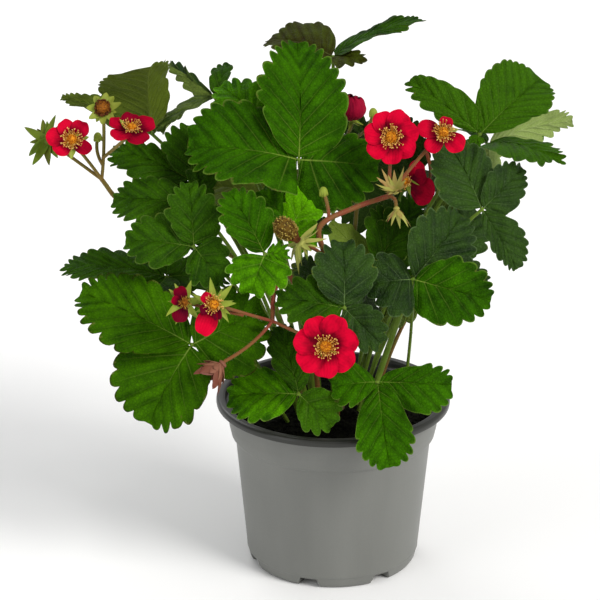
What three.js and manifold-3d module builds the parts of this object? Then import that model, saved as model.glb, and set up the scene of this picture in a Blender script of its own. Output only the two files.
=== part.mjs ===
// A potted strawberry plant: a moulded nursery pot filled with soil, a crown, trifoliate leaves on
// long stalks, and red flowers on branching trusses.
// Millimetres, +Z up. The origin is on the pot's axis at floor level, X is the plant's right and
// -Y its front.
import * as THREE from 'three';
import { mergeVertices } from 'three/addons/utils/BufferGeometryUtils.js';
import Module from 'manifold-3d';

const wasm = await Module();
wasm.setup();

// Driving dimensions
const POT_HEIGHT = 97;
const RIM_RADIUS = 65;
const POT_SEGMENTS = 30;
const FOOT_COUNT = 7;
const FOOT_HEIGHT = 5.5;
const FOOT_TURN = 34.5;
const DRAIN_INNER = 36;
const SOIL_TOP = 87;
const CLEARANCE = 0.3;
const BLADE_THICKNESS = 0.8;
const STALK_SIDES = 5;
const STALK_RADIUS = 1.3;
const STALK_SINK = 9;
const HOLE_CLEARANCE = 0.35;
const TOOTH_DEPTH = 0.06;
const TOOTH_PITCH = 8;
const HUB_RADIUS = 2.1;
const HUB_THICKNESS = 1.5;
const BASE_HALF = 0.8;
const LEAFLET_ROLL = 12;

// Finishes
const finish = (color, roughness, metalness = 0) =>
  new THREE.MeshStandardMaterial({ color, roughness, metalness });
const POT_GREY = finish('#767771', 0.55);
const SOIL_BROWN = finish('#1c1710', 0.95);
const CROWN_BROWN = finish('#4d3a24', 0.9);
const LEAF_GREENS = {
  bright: finish('#3f8a14', 0.5),
  mid: finish('#2f6b1c', 0.5),
  dark: finish('#1f4a22', 0.5),
};
const PETAL_RED = finish('#c4082c', 0.6);
const HEART_YELLOW = finish('#d49a1c', 0.8);
const TRUSS_GREEN = finish('#7f8f45', 0.6);
const FRUIT_GREEN = finish('#7b7a2c', 0.6);

const radians = THREE.MathUtils.degToRad;
const vector = (place) => new THREE.Vector3(...place);

// Solids: every shape is a closed triangle mesh that joins or cuts another.
function solid(points, triangles) {
  const vertProperties = new Float32Array(points.flatMap((point) => point.toArray()));
  const triVerts = new Uint32Array(triangles.flat());
  return new wasm.Manifold(new wasm.Mesh({ numProp: 3, vertProperties, triVerts }));
}

function solidOf(geometry) {
  const bare = geometry.clone();
  bare.deleteAttribute('normal');
  bare.deleteAttribute('uv');
  const merged = mergeVertices(bare, 1e-4);
  const vertProperties = new Float32Array(merged.attributes.position.array);
  const triVerts = new Uint32Array(merged.index.array);
  return new wasm.Manifold(new wasm.Mesh({ numProp: 3, vertProperties, triVerts }));
}

const joined = (solids) => solids.reduce((whole, piece) => whole.add(piece));

function meshOf(name, body, material) {
  const { vertProperties, triVerts } = body.getMesh();
  const geometry = new THREE.BufferGeometry();
  geometry.setAttribute('position', new THREE.BufferAttribute(vertProperties, 3));
  geometry.setIndex(new THREE.BufferAttribute(triVerts, 1));
  const mesh = new THREE.Mesh(geometry, material);
  mesh.name = name;
  return mesh;
}

// Three directions of something that faces one way: to its right, to its top, and out.
function frameOf(face) {
  const up = vector(face).normalize();
  const side = new THREE.Vector3(0, 0, 1).cross(up).normalize();
  return { side, up, other: up.clone().cross(side) };
}

// A plate under an upper face: the same triangles on both faces and a wall round the rim, whose
// points run anticlockwise seen from above. Each point has its own way down.
function plate(points, triangles, rim, downs) {
  const count = points.length;
  const lower = points.map((point, i) => point.clone().add(downs[i]));
  const under = triangles.map(([a, b, c]) => [a + count, c + count, b + count]);
  const wall = rim.flatMap((a, i) => {
    const b = rim[(i + 1) % rim.length];
    return [[a, a + count, b], [b, a + count, b + count]];
  });
  return solid([...points, ...lower], [...triangles, ...under, ...wall]);
}

// A stalk: rings of points along a route, with radii from foot to tip, closed at both ends.
const START_SIDE = new THREE.Vector3(1, 0.1, 0);

function stalk(route, footRadius, tipRadius, sides = STALK_SIDES) {
  const points = [];
  const triangles = [];
  const last = route.length - 1;
  let side = START_SIDE.clone();
  route.forEach((place, i) => {
    const ahead = route[Math.min(i + 1, last)].clone().sub(route[Math.max(i - 1, 0)]).normalize();
    side = side.clone().addScaledVector(ahead, -side.dot(ahead)).normalize();
    const other = ahead.clone().cross(side);
    const radius = THREE.MathUtils.lerp(footRadius, tipRadius, i / last);
    for (let k = 0; k < sides; k += 1) {
      const turn = (2 * Math.PI * k) / sides;
      points.push(place.clone()
        .addScaledVector(side, radius * Math.cos(turn))
        .addScaledVector(other, radius * Math.sin(turn)));
    }
  });
  for (let i = 0; i < last; i += 1) {
    for (let k = 0; k < sides; k += 1) {
      const [a, b] = [i * sides + k, i * sides + (k + 1) % sides];
      triangles.push([a, b, b + sides], [a, b + sides, a + sides]);
    }
  }
  for (let k = 1; k < sides - 1; k += 1) {
    triangles.push([0, k + 1, k], [last * sides, last * sides + k, last * sides + k + 1]);
  }
  return solid(points, triangles);
}

// The pot: one moulded wall with a rolled rim, a collar that draws in to a ledge, a tapered body
// and a base disc that stands on the floor. Notches let water out between its seven feet.
const POT_PROFILE = [
  [0, 0], [43.2, 0], [45.6, 2.2], [47, FOOT_HEIGHT + 1.8], [53.4, 73.6], [55.4, 75.4], [56.8, 81],
  [57.6, 92.6], [64, 92.8], [RIM_RADIUS, 94], [64.6, POT_HEIGHT], [60, POT_HEIGHT], [59.2, 93.8],
  [56.2, 92.4], [55.4, 80], [51.8, 73], [45.6, 9.6], [43, 6.9], [35.4, 6.9], [33, 1.8], [0, 1.8],
];

function notch(turn) {
  const [inner, outer, halfInner, halfOuter] = [DRAIN_INNER, 49, 5.4, 7.4];
  const outline = new THREE.Shape([
    new THREE.Vector2(inner, -halfInner + 2),
    new THREE.Vector2(outer, -halfOuter + 2),
    new THREE.Vector2(outer, halfOuter - 2),
    new THREE.Vector2(inner, halfInner - 2),
  ]);
  const cutter = new THREE.ExtrudeGeometry(outline, { depth: FOOT_HEIGHT + 2, bevelEnabled: false });
  cutter.translate(0, 0, -2);
  cutter.rotateZ(radians(turn));
  return solidOf(cutter);
}

function potBody() {
  const profile = POT_PROFILE.map(([radius, height]) => new THREE.Vector2(radius, height));
  const lathe = new THREE.LatheGeometry(profile, POT_SEGMENTS).rotateX(Math.PI / 2);
  let pot = solidOf(lathe);
  for (let i = 0; i < FOOT_COUNT; i += 1) {
    pot = pot.subtract(notch(FOOT_TURN - 90 + (360 / FOOT_COUNT) * i));
  }
  return pot;
}

// The soil fills the pot with the clearance all round. Its top is a low uneven mound.
const SOIL_SEGMENTS = 16;
const SOIL_RINGS = [12, 24, 36, 48];

function soilHeight(x, y) {
  const mound = 2.2 * Math.exp(-(x * x + y * y) / 900);
  const ripple = 0.7 * Math.sin(x * 0.31 + 1) * Math.cos(y * 0.27) + 0.5 * Math.sin(x * 0.13 - y * 0.36);
  return SOIL_TOP + mound + ripple;
}

const SOIL_PROFILE = [
  [0, 2.2], [32.6, 2.2], [34.9, 7.3], [42.6, 7.4], [45, 10.2], [51, 72], [54.4, 80], [54.9, SOIL_TOP],
];

function soilBody() {
  const outline = SOIL_PROFILE.map(([radius, height]) => new THREE.Vector2(radius, height));
  [...SOIL_RINGS].reverse().forEach((radius) => outline.push(new THREE.Vector2(radius, SOIL_TOP)));
  outline.push(new THREE.Vector2(0, SOIL_TOP));
  const lathe = new THREE.LatheGeometry(outline, SOIL_SEGMENTS).rotateX(Math.PI / 2);
  const place = lathe.attributes.position;
  for (let i = 0; i < place.count; i += 1) {
    if (place.getZ(i) > SOIL_TOP - 0.1) {
      place.setZ(i, soilHeight(place.getX(i), place.getY(i)));
    }
  }
  return solidOf(lathe);
}

// The crown: a low knobbly stub that stands in a plain hole in the soil.
const CROWN_SIDES = 10;
const CROWN_PROFILE = [[0, -STALK_SINK], [6.5, -STALK_SINK], [7.5, 0], [6.4, 5], [3.4, 8], [0, 9]];

function crownBody(grow = 0) {
  const outline = CROWN_PROFILE.map(([radius, height], i) => new THREE.Vector2(
    radius === 0 ? 0 : radius + grow,
    height + (i < 2 ? -grow : grow),
  ));
  const lathe = new THREE.LatheGeometry(outline, CROWN_SIDES).rotateX(Math.PI / 2);
  lathe.translate(0, 0, SOIL_TOP + 1);
  return solidOf(lathe);
}

// Leaflets: an obovate blade, widest past the middle, with forward teeth, one at the end of each
// side vein. Positions on the margin run from 0 at the base to 1 at the tip.
const marginAlong = (p) => 0.97 * Math.sin((Math.PI / 2) * p);
const marginAcross = (x) => Math.sin(Math.PI * x ** 1.3) ** 0.68;
const veinRoot = (p) => 0.05 + 0.87 * p ** 1.3;

function leaflet({ hub, tip, width, face, roll, fold = 14, bow = 0.08, arch = 0.1 }) {
  const along = tip.clone().sub(hub).normalize();
  const base = hub.clone().addScaledVector(along, HUB_RADIUS);
  const length = base.distanceTo(tip);
  const teeth = THREE.MathUtils.clamp(Math.round(length / TOOTH_PITCH), 4, 8);
  const across = face.clone().cross(along).normalize().applyAxisAngle(along, radians(roll));
  const up = along.clone().cross(across);
  const half = width / 2;
  const slope = Math.tan(radians(fold));
  const place = (x, y) => {
    const share = Math.abs(y) / half;
    const height = slope * Math.abs(y) + 4 * bow * length * x * (1 - x) - arch * half * share ** 2;
    return base.clone()
      .addScaledVector(along, x * length)
      .addScaledVector(across, y)
      .addScaledVector(up, height);
  };
  const margin = (p, push, side) => {
    const x = marginAlong(p);
    const y = half * marginAcross(x);
    return place(x + 0.6 * push, side * (y + 0.7 * push * length));
  };

  const points = [place(0, 0), place(1.02, 0)];
  const [BASE, TIP] = [0, 1];
  const triangles = [];
  const roots = [];
  for (let k = 0; k < teeth; k += 1) {
    roots.push(points.push(place(veinRoot((k + 0.6) / teeth), 0)) - 1);
  }
  const sideRim = (side) => {
    const rim = [points.push(place(0, side * BASE_HALF)) - 1];
    for (let k = 0; k < teeth; k += 1) {
      if (k > 0) {
        rim.push(points.push(margin(k / teeth, -0.5 * TOOTH_DEPTH, side)) - 1);
      }
      rim.push(points.push(margin((k + 0.6) / teeth, 0.5 * TOOTH_DEPTH, side)) - 1);
    }
    rim.push(TIP);
    return rim;
  };
  const fill = (rim, turned) => {
    const add = (a, b, c) => triangles.push(turned ? [a, b, c] : [a, c, b]);
    add(BASE, rim[0], roots[0]);
    for (let k = 0; k < teeth; k += 1) {
      add(roots[k], rim[2 * k], rim[2 * k + 1]);
      add(roots[k], rim[2 * k + 1], rim[2 * k + 2]);
      if (k + 1 < teeth) {
        add(roots[k], rim[2 * k + 2], roots[k + 1]);
      }
    }
  };
  const left = sideRim(1);
  const right = sideRim(-1);
  fill(right, true);
  fill(left, false);
  return {
    points,
    triangles,
    down: up.multiplyScalar(-BLADE_THICKNESS),
    base: [right[0], BASE, left[0]],
    rim: [...right, ...left.slice(0, -1).reverse()],
    heading: along,
  };
}

// The leaflets of a leaf share one small hub: a fan from its middle to the base of each leaflet.
function trefoil(hub, face, leaflets) {
  const { side, other, up } = frameOf(face);
  const turn = ({ heading }) => Math.atan2(heading.dot(other), heading.dot(side));
  const ordered = [...leaflets].sort((a, b) => turn(a) - turn(b));
  const points = [hub.clone().addScaledVector(up, 0.3)];
  const downs = [up.clone().multiplyScalar(-HUB_THICKNESS)];
  const triangles = [];
  const rim = [];
  const bases = [];
  for (const { points: own, triangles: faces, down, base, rim: edge } of ordered) {
    const first = points.length;
    points.push(...own);
    downs.push(...own.map(() => down));
    triangles.push(...faces.map((corners) => corners.map((corner) => corner + first)));
    rim.push(...edge.map((corner) => corner + first));
    bases.push(base.map((corner) => corner + first));
  }
  bases.forEach(([right, middle, left], i) => {
    const [nextRight] = bases[(i + 1) % bases.length];
    triangles.push([0, right, middle], [0, middle, left], [0, left, nextRight]);
  });
  return plate(points, triangles, rim, downs);
}

// A stalk's route: out of the soil, up, and out to the hub in one bend.
const STALK_STEPS = 4;

function footPlace([turn, radius]) {
  const x = radius * Math.cos(radians(turn));
  const y = radius * Math.sin(radians(turn));
  return new THREE.Vector3(x, y, SOIL_TOP - STALK_SINK + CLEARANCE);
}

function leafRoute({ hub, foot, via }) {
  const start = footPlace(foot);
  const end = vector(hub);
  const bend = via ? vector(via) : new THREE.Vector3(
    THREE.MathUtils.lerp(start.x, end.x, 0.32),
    THREE.MathUtils.lerp(start.y, end.y, 0.32),
    THREE.MathUtils.lerp(start.z, end.z, 0.68),
  );
  const curve = new THREE.QuadraticBezierCurve3(start, bend, end);
  return curve.getPoints(STALK_STEPS);
}

function leafBody(leaf) {
  const { hub, face, thick = STALK_RADIUS } = leaf;
  const leaflets = leaf.leaflets.map(([tip, width, roll = LEAFLET_ROLL, form = {}]) => leaflet({
    hub: vector(hub), tip: vector(tip), width, face: vector(face), roll, ...form,
  }));
  return trefoil(vector(hub), face, leaflets).add(stalk(leafRoute(leaf), thick, 1));
}

// Leaves: the hub where the three leaflets meet, the way the upper side faces, the stalk's foot
// as an angle and a distance from the crown, and each leaflet's tip, width and roll.
const LEAVES = [
  {
    name: 'leaf_top', green: 'bright', hub: [-19, 0, 234], face: [0.05, -0.78, 0.62],
    foot: [177, 11.5],
    leaflets: [[[-20, 42, 286], 47], [[-78, 1, 240], 50], [[23, 0, 230], 40]],
  },
  {
    name: 'leaf_crest', green: 'dark', hub: [0, 62, 274], face: [0, -0.12, 0.99],
    foot: [90, 11.5],
    leaflets: [[[-35, 85, 277], 36, -8], [[50, 80, 289], 24, -8], [[17, 46, 275], 15]],
  },
  {
    name: 'leaf_left_pale', green: 'mid', hub: [-100, 40, 236], face: [-0.1, 0.8, 0.58],
    foot: [152, 12],
    leaflets: [[[-98, 4, 284], 54, 22, { fold: 22 }], [[-148, 36, 258], 16], [[-85, 52, 245], 12]],
  },
  {
    name: 'leaf_left_high', green: 'mid', hub: [-66, 52, 254], face: [-0.1, -0.45, 0.88],
    foot: [128, 11.5],
    leaflets: [[[-91, 78, 265], 14, -25], [[-58, 73, 266], 11], [[-94, 31, 240], 14, 20]],
  },
  {
    name: 'leaf_behind_top', green: 'mid', hub: [-38, 30, 245], face: [-0.1, -0.7, 0.7],
    foot: [112, 16],
    leaflets: [[[-62, 49, 260], 28], [[-30, 47, 262], 16], [[-51, 19, 232], 16]],
  },
  {
    name: 'leaf_left_upper', green: 'mid', hub: [-78, 16, 217], face: [-0.1, -0.75, 0.65],
    foot: [166, 18],
    leaflets: [[[-121, 32, 229], 24, 22], [[-79, 37, 241], 24, 22], [[-94, 3, 200], 18, 22]],
  },
  {
    name: 'leaf_left_lower', green: 'mid', hub: [-75, -4, 209], face: [-0.1, -0.75, 0.65],
    foot: [182, 18],
    leaflets: [[[-119, 3, 210], 28], [[-70, 13, 229], 16], [[-78, -20, 190], 16]],
  },
  {
    name: 'leaf_left_mid', green: 'dark', hub: [-75, -30, 195], face: [-0.05, -0.85, 0.52],
    foot: [201, 18],
    leaflets: [[[-111, -27, 197], 30], [[-78, -12, 224], 28], [[-60, -40, 180], 26]],
  },
  {
    name: 'leaf_left_dark', green: 'dark', hub: [-91, -6, 169], face: [-0.2, -0.45, 0.87],
    foot: [189, 25],
    leaflets: [[[-148, 14, 167], 26, 0], [[-91, 18, 182], 16], [[-100, -22, 159], 22]],
  },
  {
    name: 'leaf_left_low', green: 'bright', hub: [-76, -48, 146], face: [-0.1, -0.86, 0.5],
    foot: [215, 26],
    leaflets: [[[-135, -29, 168], 44], [[-98, -67, 109], 57], [[-39, -42, 164], 42]],
  },
  {
    name: 'leaf_young', green: 'bright', hub: [-37, -44, 196], face: [0, -0.85, 0.52],
    foot: [224, 18],
    leaflets: [[[-56, -26, 224], 27], [[-44, -55, 178], 33], [[-25, -44, 196], 12]],
  },
  {
    name: 'leaf_young_back', green: 'bright', hub: [-24, -18, 201], face: [0, -0.8, 0.6],
    foot: [215, 11.5],
    leaflets: [[[-39, -5, 218], 20, 24], [[-11, -5, 218], 20, 24], [[-9, -22, 195], 12, 18]],
  },
  {
    name: 'leaf_centre_back', green: 'mid', hub: [24, 8, 172], face: [0.1, -0.6, 0.8],
    foot: [30, 18.5],
    leaflets: [[[-1, 26, 189], 20, -30], [[33, 36, 193], 28, 16], [[43, -1, 163], 16]],
  },
  {
    name: 'leaf_centre', green: 'dark', hub: [5, -56, 170], face: [0, -0.85, 0.52],
    foot: [275, 18],
    leaflets: [[[4, -38, 200], 34], [[-30, -54, 174], 28], [[24, -66, 154], 24]],
  },
  {
    name: 'leaf_right_mid', green: 'bright', hub: [42, -34, 178], face: [0.1, -0.82, 0.56],
    foot: [318, 19],
    leaflets: [[[68, -12, 206], 38, 18], [[83, -36, 167], 36, 18], [[18, -38, 176], 30]],
  },
  {
    name: 'leaf_right_back', green: 'dark', hub: [62, 20, 168], face: [0.15, -0.75, 0.65],
    foot: [5, 20],
    leaflets: [[[81, 42, 189], 28], [[44, 0, 149], 16], [[85, 16, 158], 14]],
  },
  {
    name: 'leaf_right_high', green: 'mid', hub: [80, 26, 240], face: [0.1, -0.7, 0.7],
    foot: [18, 11.5],
    leaflets: [[[43, 46, 265], 26, -20], [[114, 54, 263], 42, 0], [[73, 18, 232], 9]],
  },
  {
    name: 'leaf_right_far', green: 'mid', hub: [86, 44, 229], face: [0.05, 0.3, 0.95],
    foot: [50, 12],
    leaflets: [[[134, 72, 233], 26, -36], [[122, 2, 231], 22, 12, { fold: 30 }], [[72, 60, 232], 12, -14]],
  },
  {
    name: 'leaf_right', green: 'dark', hub: [80, -4, 207], face: [0.15, -0.82, 0.55],
    foot: [344, 12],
    leaflets: [[[61, 14, 239], 27], [[102, 12, 225], 26], [[98, -20, 179], 20]],
  },
  {
    name: 'leaf_front_left', green: 'dark', hub: [-19, -52, 119], face: [-0.05, -0.78, 0.62],
    foot: [250, 26],
    leaflets: [[[-56, -51, 117], 30], [[-30, -28, 148], 22], [[-1, -64, 106], 24]],
  },
  {
    name: 'leaf_front_right', green: 'mid', hub: [23, -54, 127], face: [0.05, -0.8, 0.6],
    foot: [298, 26],
    leaflets: [[[-1, -57, 125], 28], [[29, -81, 90], 34], [[62, -53, 125], 34]],
  },
  {
    name: 'leaf_back_right', green: 'mid', hub: [40, 62, 196], face: [0.35, 0.72, 0.6],
    foot: [55, 20],
    leaflets: [[[56, 93, 172], 34], [[4, 78, 198], 30], [[74, 44, 200], 30]],
  },
  {
    name: 'leaf_back_left', green: 'bright', hub: [-38, 70, 190], face: [-0.3, 0.75, 0.58],
    foot: [122, 21],
    leaflets: [[[-56, 100, 162], 36], [[-4, 84, 192], 30], [[-72, 56, 200], 32]],
  },
  {
    name: 'leaf_back_low', green: 'mid', hub: [4, 60, 136], face: [0.05, 0.7, 0.72],
    foot: [90, 25],
    leaflets: [[[6, 92, 112], 32], [[-30, 66, 140], 28], [[38, 62, 138], 28]],
  },
];

// Blooms: petals in a ring that pass over one another like a pinwheel, a heart of stamens above
// them, and a green star of sepals behind. Angles run anticlockwise from the bloom's right.

function spoke({ side, other, up }, angle) {
  const along = side.clone().multiplyScalar(Math.cos(radians(angle)))
    .addScaledVector(other, Math.sin(radians(angle)));
  return { along, across: up.clone().cross(along), up };
}

const PETAL_THICKNESS = 0.6;
const BACK_OF_PETALS = PETAL_THICKNESS / 2 + CLEARANCE;
const HEART_SECTORS = 8;
const PETAL_RIM = [
  [0.22, -0.2], [0.5, -0.8], [0.84, -0.95], [1, -0.4], [1, 0.4], [0.84, 0.95], [0.5, 0.8], [0.22, 0.2],
];

function petalsBody({ centre, face, radius, angles, form = {} }) {
  const { cup = 0.16, wide = 0.44, tilt = 0.26 } = form;
  const frame = frameOf(face);
  const middle = vector(centre).addScaledVector(frame.up, PETAL_THICKNESS / 2);
  const points = [middle];
  const triangles = [];
  const rim = [];
  const count = PETAL_RIM.length;
  angles.forEach((angle, i) => {
    const { along, across, up } = spoke(frame, angle);
    const place = ([r, y]) => middle.clone()
      .addScaledVector(along, r * radius)
      .addScaledVector(across, y * wide * radius)
      .addScaledVector(up, radius * (cup * r * r + tilt * wide * y));
    const first = points.length;
    points.push(...PETAL_RIM.map(place), place([0.55, 0]).addScaledVector(up, -0.03 * radius));
    for (let k = 0; k < count; k += 1) {
      rim.push(first + k);
      triangles.push([first + count, first + k, first + ((k + 1) % count)]);
    }
    const next = 1 + ((i + 1) % angles.length) * (count + 1);
    triangles.push([0, first, first + count - 1], [0, first + count - 1, next]);
  });
  const down = frame.up.clone().multiplyScalar(-PETAL_THICKNESS);
  return plate(points, triangles, rim, points.map(() => down));
}

// A ringed dome: each ring has a radius and a rise, and every other point of a ring may stand
// out further.
function dome(middle, { side, other, up }, rings, sectors) {
  const points = [];
  const triangles = [];
  for (const [radius, rise, out = 1] of rings) {
    for (let k = 0; k < sectors; k += 1) {
      const turn = (2 * Math.PI * k) / sectors;
      const r = radius * (k % 2 ? out : 1);
      points.push(middle.clone()
        .addScaledVector(side, r * Math.cos(turn))
        .addScaledVector(other, r * Math.sin(turn))
        .addScaledVector(up, rise));
    }
  }
  const last = (rings.length - 1) * sectors;
  for (let i = 0; i < last; i += sectors) {
    for (let k = 0; k < sectors; k += 1) {
      const [a, b] = [i + k, i + ((k + 1) % sectors)];
      triangles.push([a, b, b + sectors], [a, b + sectors, a + sectors]);
    }
  }
  for (let k = 1; k < sectors - 1; k += 1) {
    triangles.push([0, k + 1, k], [last, last + k, last + k + 1]);
  }
  return solid(points, triangles);
}

const HEART_RINGS = [[0.5, 0], [1, 0.3, 0.8], [0.6, 0.34], [0.5, 0.62], [0.22, 0.84]];

// A heart stands on the petals, or straight on the star where they have dropped.
function heartBody({ centre, face, heart, radius }) {
  const frame = frameOf(face);
  const rise = radius ? BACK_OF_PETALS + CLEARANCE / 2 : CLEARANCE - BACK_OF_PETALS;
  const middle = vector(centre).addScaledVector(frame.up, rise);
  const rings = HEART_RINGS.map(([radius, rise, out]) => [radius * heart, rise * heart, out]);
  return dome(middle, frame, rings, HEART_SECTORS);
}

// A star of pointed sepals on a small cup, which ends a flower stalk: one plate whose rim goes from
// the tip of a sepal in to the notch before the next.
const SEPAL_NOTCH = 0.34;
const SEPAL_THICKNESS = 0.8;

function calyx({ centre, face, star, sepals = 5, droop = 0.15, turn = 0 }) {
  const frame = frameOf(face);
  const middle = vector(centre).addScaledVector(frame.up, -BACK_OF_PETALS);
  const rim = [];
  for (let k = 0; k < 2 * sepals; k += 1) {
    const long = star * (k % 4 ? 0.82 : 1);
    const length = k % 2 ? star * SEPAL_NOTCH : long;
    const { along } = spoke(frame, turn + (180 / sepals) * k);
    rim.push(middle.clone().addScaledVector(along, length).addScaledVector(frame.up, -droop * length));
  }
  const loop = rim.map((_, k) => k);
  const triangles = loop.map((k) => [rim.length, k, (k + 1) % rim.length]);
  const down = frame.up.clone().multiplyScalar(-SEPAL_THICKNESS);
  return plate([...rim, middle], triangles, loop, [...rim, middle].map(() => down));
}

const RING_OF_SEVEN = [14, 66, 117, 168, 220, 271, 323];
const RING_OF_FIVE = [18, 90, 162, 234, 306];
const BLOOMS = {
  front: {
    centre: [-5, -80, 158], face: [-0.05, -0.95, 0.28], radius: 17.4, angles: RING_OF_SEVEN,
    heart: 6, star: 11,
  },
  centre: {
    centre: [30, -14, 251], face: [-0.02, -0.93, 0.36], radius: 15.3, angles: RING_OF_SEVEN,
    heart: 6, star: 10,
  },
  torn: {
    centre: [58, -6, 251], face: [0.1, -0.85, 0.5], radius: 13, angles: [165, 220, 275, 330],
    heart: 5.5, star: 9,
  },
  side: {
    centre: [40, 4, 220], face: [-0.7, -0.6, 0.35], radius: 14, angles: [-75, -20, 35, 90],
    heart: 4, star: 7, form: { cup: 0.45 },
  },
  closed: {
    centre: [10, 26, 248], face: [0.1, -0.2, 0.97], radius: 9.5, angles: RING_OF_FIVE,
    heart: 0, star: 6, form: { cup: 0.9, wide: 0.55 },
  },
  left: {
    centre: [-141, 0, 245], face: [0.15, -0.8, 0.58], radius: 12.5, angles: [40, 95, 150, 205, 300],
    heart: 5.5, star: 10,
  },
  low_left: {
    centre: [-108, -9, 254], face: [0.1, -0.4, 0.91], radius: 13.5, angles: RING_OF_FIVE,
    heart: 5, star: 9,
  },
  faded: {
    centre: [-79, -66, 177], face: [0.2, -0.9, 0.35], radius: 9, angles: [110, 180, 250],
    heart: 3.6, star: 9, form: { cup: 0.5 },
  },
  dropping: {
    centre: [-63, -69, 177], face: [-0.1, -0.92, 0.35], radius: 12, angles: [130, 205, 270],
    heart: 5, star: 12, form: { cup: 0.3 },
  },
  back: {
    centre: [-12, 66, 238], face: [-0.2, 0.85, 0.5], radius: 15, angles: RING_OF_SEVEN,
    heart: 5.5, star: 10,
  },
};

// Green or dry stars whose petals have dropped, and small buds
const STARS = {
  seed_head: { centre: [-124, 3, 262], face: [0, -0.85, 0.52], star: 10, sepals: 8, heart: 5.2 },
  turned: { centre: [-155, 8, 242], face: [-0.3, -0.85, 0.4], star: 14, sepals: 9, droop: -0.1 },
  dried: { centre: [-60, -70, 143], face: [-0.66, -0.5, -0.55], star: 12, sepals: 7, droop: -0.7 },
  spent_low: { centre: [33, -27, 214], face: [0.1, -0.7, -0.7], star: 12, sepals: 6, droop: -0.4 },
  spent_high: { centre: [32, -27, 226], face: [-0.3, -0.85, 0.45], star: 11, sepals: 7, droop: -0.2 },
};

// The young fruit: a cone covered in small achenes, on its own star of sepals
const FRUIT = { centre: [-19, -41, 202], face: [-0.62, -0.3, 0.72], star: 14, sepals: 8, droop: 0.35 };
const FRUIT_SECTORS = 8;
const FRUIT_RINGS = [
  [2.6, 0], [4.6, 1.6, 0.86], [5.6, 4.2, 1.14], [5.2, 6.8, 0.86], [4.4, 9, 1.14],
  [2.6, 11.4, 0.86], [1, 12.6],
];

function fruitBody() {
  const frame = frameOf(FRUIT.face);
  return dome(vector(FRUIT.centre), frame, FRUIT_RINGS, FRUIT_SECTORS);
}

// Flower trusses: a main stalk from the soil that branches to its blooms, stars and buds
const BUD_RADIUS = 2.9;
const TRUSS_STEPS = 6;
const NECK_LENGTH = 2.4;
const TRUSSES = [
  {
    name: 'truss_left', foot: [140, 17], thick: 1.5,
    main: [[-42, 23, 158], [-92, 25, 188], [-117, 18, 204], [-126, 8, 220]],
    branches: [
      { from: [-126, 8, 220], by: [-134, 5, 234], to: BLOOMS.left },
      { from: [-126, 8, 220], by: [-142, 10, 232], to: STARS.turned },
      { from: [-126, 8, 220], by: [-124, 12, 236], to: STARS.seed_head },
      { from: [-125, 9, 232], by: [-116, 0, 242], to: BLOOMS.low_left },
      { from: [-125, 8, 228], by: [-130, 12, 234], bud: [-128, 14, 242] },
    ],
  },
  {
    name: 'truss_low', foot: [236, 11], thick: 1.4,
    main: [[-14, -26, 150], [-27, -44, 186], [-32, -49, 176], [-33, -57, 163]],
    branches: [
      { from: [-33, -57, 163], by: [-20, -68, 161], to: BLOOMS.front },
      { from: [-33, -57, 163], by: [-48, -64, 170], to: BLOOMS.dropping },
      { from: [-48, -64, 169], by: [-64, -60, 171], to: BLOOMS.faded },
      { from: [-33, -57, 163], by: [-42, -66, 153], to: STARS.dried },
    ],
  },
  {
    name: 'truss_right', foot: [280, 11], thick: 1.6,
    main: [[2, -22, 140], [-5, -33, 190], [-8, -33, 207], [11, -24, 215], [29, -17, 219]],
    branches: [
      { from: [-5, -33, 190], by: [-10, -37, 197], to: FRUIT },
      { from: [-3, -30, 210], by: [-3, -28, 217], bud: [-6, -25, 224] },
      { from: [29, -17, 219], by: [33, -19, 219], to: STARS.spent_low },
      { from: [29, -17, 219], by: [32, -18, 223], to: STARS.spent_high },
      { from: [29, -17, 219], by: [30, -4, 236], to: BLOOMS.centre },
      { from: [29, -17, 219], by: [44, -10, 238], to: BLOOMS.torn },
      { from: [49, -7, 241], by: [58, 18, 211], to: BLOOMS.side, steps: 4 },
    ],
  },
  {
    name: 'truss_back', foot: [70, 15], thick: 1.3,
    main: [[10, 24, 160], [13, 34, 212], [7, 32, 236]],
    branches: [
      { from: [7, 32, 236], by: [8, 28, 240], to: BLOOMS.closed },
      { from: [7, 32, 236], by: [18, 16, 240], bud: [21, 10, 257] },
      { from: [13, 34, 212], by: [-2, 56, 226], to: BLOOMS.back },
    ],
  },
];

function trussRoute({ foot, main }) {
  const places = [footPlace(foot), ...main.map(vector)];
  return new THREE.CatmullRomCurve3(places, false, 'centripetal').getPoints(TRUSS_STEPS);
}

// A branch runs into the middle of its star from straight behind it.
function branchRoute({ from, by, to, bud, steps = 2 }) {
  if (bud) {
    return new THREE.QuadraticBezierCurve3(vector(from), vector(by), vector(bud)).getPoints(2);
  }
  const { up } = frameOf(to.face);
  const star = vector(to.centre).addScaledVector(up, -BACK_OF_PETALS - SEPAL_THICKNESS / 2);
  const neck = star.clone().addScaledVector(up, -NECK_LENGTH);
  return [...new THREE.QuadraticBezierCurve3(vector(from), vector(by), neck).getPoints(steps), star];
}

function trussBody(truss) {
  const { thick, branches } = truss;
  const pieces = [stalk(trussRoute(truss), thick, thick * 0.85)];
  for (const branch of branches) {
    const { to, bud } = branch;
    pieces.push(stalk(branchRoute(branch), thick * 0.65, 1, 4));
    pieces.push(to ? calyx(to) : solidOf(new THREE.IcosahedronGeometry(BUD_RADIUS).translate(...bud)));
  }
  return joined(pieces);
}

// The whole plant in its pot
const model = new THREE.Group();
model.name = 'potted_strawberry_plant';

// Every stalk stands in a plain hole in the soil, along its own first stretch.
function holeFor(route, thick) {
  const [foot, next] = route;
  const ahead = next.clone().sub(foot).normalize();
  const ends = [-CLEARANCE, 3 * STALK_SINK].map((length) => foot.clone().addScaledVector(ahead, length));
  return stalk(ends, thick + HOLE_CLEARANCE, thick + HOLE_CLEARANCE);
}

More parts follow.
